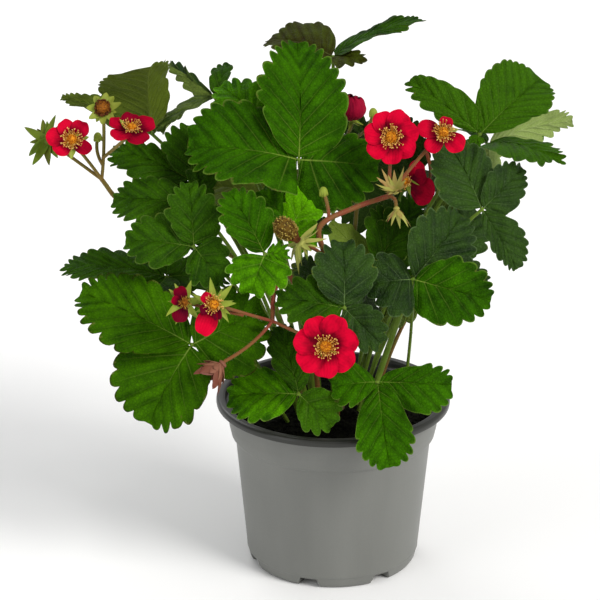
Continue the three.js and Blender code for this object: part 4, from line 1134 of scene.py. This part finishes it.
# %% [markdown]
# ## Sepals, buds and flower stalks
#
# A star of pointed sepals sits behind every flower. Each sepal is a narrow closed blade with a fold
# along its middle. The stalks branch from one main stem; they are pale green, flushed with red
# where the sun reaches them, and hairier than the leaf stalks.

# %% Table of trusses
TRUSSES = [
    # a branch: its start, its bend, and the flower it carries or else the middle of its bud
    dict(name="truss_left", foot=[140, 17], thick=1.5, flush=(0.0, 0.35),
         main=[[-42, 23, 158], [-92, 25, 188], [-117, 18, 204], [-126, 8, 220]], branches=[
             ([-126, 8, 220], [-134, 5, 234], BLOOMS["left"]),
             ([-126, 8, 220], [-142, 10, 232], STARS["turned"]),
             ([-126, 8, 220], [-124, 12, 236], STARS["seed_head"]),
             ([-125, 9, 232], [-116, 0, 242], BLOOMS["low_left"]),
             ([-125, 8, 228], [-130, 12, 234], [-128, 14, 242]),
         ]),
    dict(name="truss_low", foot=[236, 11], thick=1.4, flush=(0.6, 1.0),
         main=[[-14, -26, 150], [-27, -44, 186], [-32, -49, 176], [-33, -57, 163]], branches=[
             ([-33, -57, 163], [-20, -68, 161], BLOOMS["front"]),
             ([-33, -57, 163], [-48, -64, 170], BLOOMS["dropping"]),
             ([-48, -64, 169], [-64, -60, 171], BLOOMS["faded"]),
             ([-33, -57, 163], [-42, -66, 153], STARS["dried"]),
         ]),
    dict(name="truss_right", foot=[280, 11], thick=1.6, flush=(0.5, 0.95),
         main=[[2, -22, 140], [-5, -33, 190], [-8, -33, 207], [11, -24, 215], [29, -17, 219]], branches=[
             ([-5, -33, 190], [-10, -37, 197], FRUIT),
             ([-3, -30, 210], [-3, -28, 217], [-6, -25, 224]),
             ([29, -17, 219], [33, -19, 219], STARS["spent_low"]),
             ([29, -17, 219], [32, -18, 223], STARS["spent_high"]),
             ([29, -17, 219], [30, -4, 236], BLOOMS["centre"]),
             ([29, -17, 219], [44, -10, 238], BLOOMS["torn"]),
             ([49, -7, 241], [58, 18, 211], BLOOMS["side"]),
         ]),
    dict(name="truss_back", foot=[70, 15], thick=1.3, flush=(0.1, 0.3),
         main=[[10, 24, 160], [13, 34, 212], [7, 32, 236]], branches=[
             ([7, 32, 236], [8, 28, 240], BLOOMS["closed"]),
             ([7, 32, 236], [18, 16, 240], [21, 10, 257]),
             ([13, 34, 212], [-2, 56, 226], BLOOMS["back"]),
         ]),
]

# %% Sepals and buds
SEPAL_ROWS = 12
SEPAL_COLUMNS = 6
SEPAL_GREEN = stalk_finish("sepals", (0.13, 0.20, 0.010), (0.36, 0.42, 0.06), (0.24, 0.07, 0.035))
SEPAL_DEEP = stalk_finish("sepals deep green", (0.040, 0.10, 0.004), (0.16, 0.26, 0.012), (0.10, 0.05, 0.015))
SEPAL_PALE = stalk_finish("sepals hairy", (0.22, 0.27, 0.03), (0.46, 0.49, 0.13), (0.34, 0.12, 0.06))
TRUSS_STALK = stalk_finish("flower stalk", (0.10, 0.11, 0.015), (0.22, 0.20, 0.04), (0.22, 0.035, 0.022))
SEPAL_DRY = stalk_finish("sepals dried", (0.15, 0.045, 0.025), (0.40, 0.20, 0.12), (0.13, 0.03, 0.018))
STAR_FORM = ("star", "sepals", "droop", "tint", "slim", "finish", "blunt")


def sepal(rng, middle, axes, length, angle, half, droop, tint, finish=0, blunt=0.9):
    """A pointed blade, widest near its foot, that falls with the square of its reach, folds along
    its middle, twists a little and curls at its tip."""
    along, across, out = spoke(axes, angle)
    x, t = shares(SEPAL_ROWS, SEPAL_COLUMNS)
    width = half * (np.sin(np.pi * (0.16 + 0.84 * x) ** 0.72) ** blunt + 0.02)
    bend, twist, sway = rng.normal(size=3) * (0.22, 0.5, 0.12)
    height = -droop * length * x ** 1.3 + 0.45 * width * t ** 2 + (bend * x ** 2 + 0.1 * x ** 4) * length
    height = height + width * t * twist * x
    off = width * t + sway * length * x ** 2
    points = (middle + along * (length * x)[..., None] * np.ones_like(t)[..., None]
              + across * off[..., None] + out * height[..., None])
    thick = 0.35 * (1 - t ** 6) * np.minimum(1, 6 * (1 - x))
    tints = np.clip(tint + 0.5 * x ** 3 * tint, 0, 1)
    return thin_shell(points, out, thick, spots(x, t), (finish, finish), tints)


def star(rng, centre, face, star, sepals=5, droop=0.15, tint=0.0, slim=1.0, finish=0, blunt=0.9):
    """The sepals behind a flower in two rings, the outer ones narrower, on a small round cup."""
    axes = bloom_frame(face)
    middle = floats(centre) - axes[2] * 0.9
    parts = []
    for k in range(2 * sepals if sepals > 5 else sepals):
        outer = k % 2
        length = star * (0.72 if outer else 1.0) * rng.uniform(0.85, 1.12)
        angle = (180 if sepals > 5 else 360) / sepals * k + 9 * rng.normal()
        half = star * (0.11 if outer else 0.16) * (1.7 if sepals <= 5 else 1.0) * slim
        parts += sepal(rng, middle - axes[2] * 0.25 * outer, axes, length, angle, half, droop + 0.2 * outer,
                       tint * rng.uniform(0.2, 1.6), finish, blunt)
    return parts + beads(middle[None] - axes[2] * 0.4, axes[2][None], 1.3, 0.24 * star, finish, tint,
                         sides=14, rings=8)


def bud(centre):
    """A closed bud: a green egg with sepals pressed to it."""
    centre = floats(centre)
    up = np.array([0.0, 0.0, 1.0])
    parts = beads(centre[None], up[None], 2.9, 2.3, 0, 0.0, sides=14, rings=10)
    for k in range(5):
        turn = 2 * np.pi * k / 5
        out = np.array([math.cos(turn), math.sin(turn), 0.0])
        place = (centre + out * 1.5 + up * 0.3)[None]
        parts += beads(place, (up - 0.35 * out)[None], 2.6, 0.9, 0, 0.1, sides=6, rings=6)
    return parts


# %% Trusses
TRUSS_SPACING = 10
BRANCH_STEPS = 12
NECK_LENGTH = 2.4
STEM_HAIRS, STEM_HAIR_LENGTH = 220, 1.7
BRANCH_HAIRS, BRANCH_HAIR_LENGTH = 60, 1.4


def through_points(places, steps_a_span):
    """A smooth curve through places, whose pace follows the square root of their distances."""
    places = floats(places)
    places = np.concatenate([[2 * places[0] - places[1]], places, [2 * places[-1] - places[-2]]])
    gaps = np.sqrt(np.linalg.norm(np.diff(places, axis=0), axis=1))
    route = []
    for i in range(1, len(places) - 2):
        a, b, c, d = places[i - 1:i + 3]
        ga, gb, gc = gaps[i - 1:i + 2]
        start = ((b - a) / ga - (c - a) / (ga + gb) + (c - b) / gb) * gb
        end = ((c - b) / gb - (d - b) / (gb + gc) + (d - c) / gc) * gb
        t = np.linspace(0, 1, steps_a_span, endpoint=False)[:, None]
        square, cube = 3 * (c - b) - 2 * start - end, 2 * (b - c) + start + end
        route.append(b + start * t + square * t ** 2 + cube * t ** 3)
    return np.concatenate(route + [places[-2:-1]])


def make_truss(number, truss):
    """The main stem, its branches with their stars and buds, and hairs on all of them."""
    rng = np.random.default_rng(700 + number)
    low, high = truss["flush"]
    thick = truss["thick"]
    main = through_points([foot_place(*truss["foot"]), *truss["main"]], TRUSS_SPACING)
    radii = np.linspace(thick, thick * 0.85, len(main))
    parts = [tube(main, radii, finish=1, tint=np.linspace(low, high, len(main)))]
    parts.append(hairs(rng, main[5:], radii[5:], STEM_HAIRS, STEM_HAIR_LENGTH, finish=2))
    for start, by, to in truss["branches"]:
        start, by = floats(start), floats(by)
        if isinstance(to, list):
            route = bezier(start, by, floats(to), BRANCH_STEPS)
            parts += bud(to)
        else:
            out = unit(floats(to["face"]))
            end = floats(to["centre"]) - out * 1.0
            neck = end - out * NECK_LENGTH
            route = np.concatenate([bezier(start, by, neck, BRANCH_STEPS), end[None]])
            form = {key: to[key] for key in STAR_FORM if key in to}
            parts += star(rng, to["centre"], to.get("opens", to["face"]), **form)
        radii = np.linspace(thick * 0.62, 0.95, len(route))
        parts.append(tube(route, radii, finish=1, tint=np.linspace(high, low, len(route))))
        parts.append(hairs(rng, route, radii, BRANCH_HAIRS, BRANCH_HAIR_LENGTH, finish=2))
    finishes = [SEPAL_GREEN, TRUSS_STALK, HAIR, SEPAL_DEEP, SEPAL_PALE, SEPAL_DRY]
    make_piece(truss["name"], parts, finishes)


for number, truss in enumerate(TRUSSES):
    make_truss(number, truss)
print("trusses:", len(TRUSSES))

# %% [markdown]
# ## The young fruit
#
# The fruit is still a small olive cone. Its seeds sit close together in spiral rows that follow the golden
# angle, and stand out because the flesh has not swollen yet.

# %% Fruit
FRUIT_LENGTH = 19.0
FRUIT_RADIUS = 5.7
FRUIT_FLESH = plain_finish("unripe flesh", (0.060, 0.030, 0.003), (0.15, 0.085, 0.010), scale=500.0,
                           Specular_IOR_Level=0.1)
FRUIT_SEED = plain_finish("unripe seeds", (0.10, 0.055, 0.006), (0.40, 0.30, 0.06), Specular_IOR_Level=0.2)
FRUIT_NECK = plain_finish("fruit neck", (0.045, 0.012, 0.004), (0.13, 0.045, 0.012), scale=500.0,
                          Specular_IOR_Level=0.1)
FRUIT_SEEDS = 190
NECK_ROWS = 9


def fruit_radius(share):
    """The cone's radius from its narrow neck, share 0, to its blunt tip, share 1."""
    swell = np.sin(np.pi * np.clip(0.06 + 0.94 * share, 0, 1) ** 1.55) ** 0.6
    return FRUIT_RADIUS * np.maximum(swell, 0.38 * (1 - share))


def make_fruit():
    """A turned cone with its seeds; its narrow neck is dark and bare."""
    rng = np.random.default_rng(800)
    side, other, out = bloom_frame(FRUIT["face"])
    middle = floats(FRUIT["centre"])
    share = np.linspace(0, 1, 25)
    turn = np.linspace(0, 2 * np.pi, 33)
    radius = fruit_radius(share) * 0.94
    ring = ring_of(side, other, turn)
    points = middle + ring[None] * radius[:, None, None] + out * (share * FRUIT_LENGTH)[:, None, None]
    points[0] = middle
    uv = spots(share[:, None], turn[None] / 6.3)
    parts = [surface(points[NECK_ROWS - 1:], uv[NECK_ROWS - 1:], 0, flip=True),
             surface(points[:NECK_ROWS], uv[:NECK_ROWS], 2, flip=True)]
    k = np.arange(FRUIT_SEEDS) + rng.normal(size=FRUIT_SEEDS) * 0.12
    share = 1 - 0.68 * ((k + 1.0) / (FRUIT_SEEDS + 2.0)) ** 0.75
    turn = k * GOLDEN_ANGLE
    ring = ring_of(side, other, turn)
    slope = (fruit_radius(share + 0.02) - fruit_radius(share - 0.02)) / (0.04 * FRUIT_LENGTH)
    outwards = unit(ring - out * slope[:, None])
    centres = middle + ring * (fruit_radius(share) * 0.97)[:, None] + out * (share * FRUIT_LENGTH)[:, None]
    parts += beads(centres, outwards + 0.5 * out + 0.4 * rng.normal(size=(FRUIT_SEEDS, 3)),
                   rng.uniform(0.7, 1.15, FRUIT_SEEDS), 0.42, 1)
    make_piece("young_fruit", parts, [FRUIT_FLESH, FRUIT_SEED, FRUIT_NECK])


make_fruit()

# %% [markdown]
# ## The pot
#
# The pot is moulded in two colours of plastic: grey outside, and nearly black inside and on the
# rolled rim. Its wall is one turned outline: a rim that rolls out, a collar that draws in to a
# ledge, a tapered body and a rounded base. The base stands on seven feet with notches between
# them, made by lifting the bottom wherever a notch runs.

# %% Pot
FEET = 7
FOOT_LIFT = 5.5
FOOT_TURN = 34.5
NOTCH_INNER = 36.0
NOTCH_TURN = 5.4 / 46.0  # half a notch's width over its distance from the axis
COLLAR_TOP = (58.9, 92.0)
POT_BOTTOM = [(0.0, 0.0), (20.0, 0.0), (35.8, 0.0), (36.0, 0.0), (36.2, 0.0)]
POT_OUTER = [
    # distance from the axis, height
    (36.2, 0.0), (44.2, 0.0), (45.9, 0.5), (46.9, 2.0), (47.9, 6.4), (48.25, 6.9), (48.2, 7.4), (54.4, 73.2),
    (55.1, 74.4), (56.3, 75.0), (56.7, 75.6), (57.9, 81.0), (58.6, 87.0), COLLAR_TOP, (59.6, 92.7),
    (63.6, 92.8), (64.8, 93.3), (65.0, 94.4), (64.9, 95.6), (64.4, 96.6), (63.6, 97.0),
]
POT_INNER = [
    (60.9, 97.0), (60.2, 96.7), (59.7, 95.6), (59.3, 93.6), (58.0, 93.0), (56.6, 92.6), (56.1, 91.4),
    (55.4, 80.0), (51.8, 73.0), (45.6, 9.6), (43.0, 6.9), (35.4, 6.9), (33.0, 1.8), (0.0, 1.8),
]


def softened(profile, steps=4):
    """A profile with every span cut into short steps, so that its turns shade softly."""
    profile = floats(profile)
    spans = [np.linspace(a, b, steps, endpoint=False) for a, b in zip(profile[:-1], profile[1:])]
    return np.concatenate(spans + [profile[-1:]])


def notch_share(turn):
    """1 inside a notch and 0 on a foot, at each angle round the base."""
    step = 2 * np.pi / FEET
    middle = math.radians(FOOT_TURN - 90)
    off = np.abs((turn - middle + step / 2) % step - step / 2)
    return np.clip((NOTCH_TURN + 0.018 - off) / 0.036, 0, 1)


def around(radius, turn, height):
    """Points round the pot's axis, from their distance, their angle and their height."""
    return spots(radius * np.cos(turn), radius * np.sin(turn), height)


def turned(profile, turns):
    """The profile turned round the axis; where a notch runs, low points are lifted to its roof."""
    radius, height = np.hsplit(floats(profile), 2)
    roof = FOOT_LIFT * notch_share(turns) * (radius >= NOTCH_INNER)
    return around(radius, turns, np.maximum(height, roof))


def pot_plastic(name, low, high, roughness):
    """Moulded plastic: faint flow streaks, fine scuffs and a low sheen."""
    material, tree, shader = new_material(name, roughness, Specular_IOR_Level=0.45)
    place = object_place(tree)
    stretched = add(tree, "ShaderNodeMapping", {"Vector": place, "Scale": (40.0, 40.0, 7.0)})
    flow = noise(tree, stretched.outputs[0], 1.0, 4.0)
    grain = noise(tree, place, 1400.0)
    factor = maths(tree, "MULTIPLY_ADD", grain, 0.25, maths(tree, "MULTIPLY", flow, 0.8))
    tree.links.new(blend_colours(tree, factor, low, high), shader.inputs["Base Color"])
    tree.links.new(maths(tree, "MULTIPLY_ADD", flow, 0.2, roughness - 0.1), shader.inputs["Roughness"])
    bump(tree, shader, grain, 0.12, 0.0002)
    return material


POT_GREY = pot_plastic("pot grey", (0.115, 0.118, 0.107), (0.185, 0.189, 0.174), 0.42)
POT_BLACK = pot_plastic("pot black", (0.010, 0.011, 0.008), (0.021, 0.022, 0.017), 0.36)


def make_pot():
    """The outer wall in grey and the rim and the inside in black, with angles bunched at the notches."""
    even = np.linspace(0, 2 * np.pi, 141)
    step = 2 * np.pi / FEET
    middles = math.radians(FOOT_TURN - 90) + step * np.arange(FEET)
    edges = (middles[:, None] + np.array([-1, 1])[None] * NOTCH_TURN).ravel()
    bunched = (edges[:, None] + np.linspace(-0.019, 0.019, 3)[None]).ravel() % (2 * np.pi)
    turns = np.unique(np.round(np.concatenate([even, bunched]), 5))
    turns[-1] = 2 * np.pi
    rim = POT_OUTER.index(COLLAR_TOP)
    parts = []
    for profile, finish in ((POT_BOTTOM, 0), (softened(POT_OUTER[:rim + 1]), 0),
                            (softened(POT_OUTER[rim:] + POT_INNER[:1]), 1), (softened(POT_INNER, 3), 1)):
        points = turned(profile, turns)
        uv = spots(np.linspace(0, 1, len(points))[:, None], turns[None])
        parts.append(surface(points, uv, finish, flip=True))
    make_piece("pot", parts, [POT_GREY, POT_BLACK])


make_pot()

# %% [markdown]
# ## Soil and crown
#
# The soil is almost black and damp, with crumbs of many sizes. Its top is a grid round the pot's
# axis, raised by the same low mound as the solid and by seeded ripples; loose crumbs lie on it. The
# crown is the short woody base from which all stalks rise.

# %% Soil
SOIL_RADIUS = 55.0
SOIL_WALL = [(54.4, 80.0), (51.0, 72.0), (45.0, 10.2), (42.6, 7.4), (34.9, 7.3), (32.6, 2.2), (0.0, 2.2)]
CRUMBS = 420
SOIL_WAVES = 26
CROWN_PROFILE = [(0, 78.0), (6.0, 78.2), (6.9, 84.0), (7.1, 88.0), (6.1, 92.4), (3.6, 95.2), (0.0, 96.4)]


def soil_height(x, y):
    """The low uneven mound of the soil."""
    mound = SOIL_TOP + 2.2 * np.exp(-(x * x + y * y) / 900)
    ripples = mound + 0.7 * np.sin(x * 0.31 + 1) * np.cos(y * 0.27)
    return ripples + 0.5 * np.sin(x * 0.13 - y * 0.36)


def crumble(rng, x, y):
    """Fine roughness: many seeded waves of falling length and height."""
    height = np.zeros_like(x)
    for k in range(SOIL_WAVES):
        turn = rng.random() * 2 * np.pi
        pace = 0.7 * 1.09 ** k
        across = x * math.cos(turn) + y * math.sin(turn)
        height = height + 0.16 / 1.05 ** k * np.sin(pace * across + 6.3 * rng.random())
    return height


SOIL_FINISH = plain_finish("damp soil", (0.0015, 0.0015, 0.001), (0.009, 0.009, 0.006), 0.9, 700.0,
                           Specular_IOR_Level=0.05)
CROWN_FINISH = plain_finish("crown bark", (0.05, 0.028, 0.012), (0.16, 0.10, 0.045), 0.8, 300.0)


def make_soil():
    """The top of the soil as rings from the axis to the wall, its side and base, and its crumbs."""
    rng = np.random.default_rng(900)
    radius = np.linspace(0, SOIL_RADIUS, 90)[:, None]
    turn = np.linspace(0, 2 * np.pi, 181)[None]
    x, y = radius * np.cos(turn), radius * np.sin(turn)
    rough = crumble(rng, x, y)
    fade = np.clip((SOIL_RADIUS - radius) / 2, 0, 1)
    top = spots(x, y, soil_height(x, y) + rough * fade * (radius > 0))
    below = [top[-1], *(around(r, turn[0], h) for r, h in SOIL_WALL)]
    parts = [surface(top), surface(np.stack(below))]
    far = SOIL_RADIUS * 0.97 * np.sqrt(rng.random(CRUMBS))
    turn = 2 * np.pi * rng.random(CRUMBS)
    x, y = far * np.cos(turn), far * np.sin(turn)
    size = 0.5 + 1.1 * rng.random(CRUMBS) ** 3
    centres = spots(x, y, soil_height(x, y) + 0.25 * size)
    parts += beads(centres, rng.normal(size=(CRUMBS, 3)), size, size * 0.75, 0)
    make_piece("soil", parts, [SOIL_FINISH])


def make_crown():
    """The knobbly crown: a turned stub whose radius swells in scales that climb round it."""
    radius, height = np.hsplit(softened(CROWN_PROFILE, 6), 2)
    turn = np.linspace(0, 2 * np.pi, 49)
    scales = 1 + 0.05 * np.sin(5 * turn[None] + height * 0.9)
    scales = scales + 0.03 * np.sin(11 * turn[None] - height * 1.3)
    points = around(radius * scales, turn, height)
    make_piece("crown", [surface(points, flip=True)], [CROWN_FINISH])


make_soil()
make_crown()
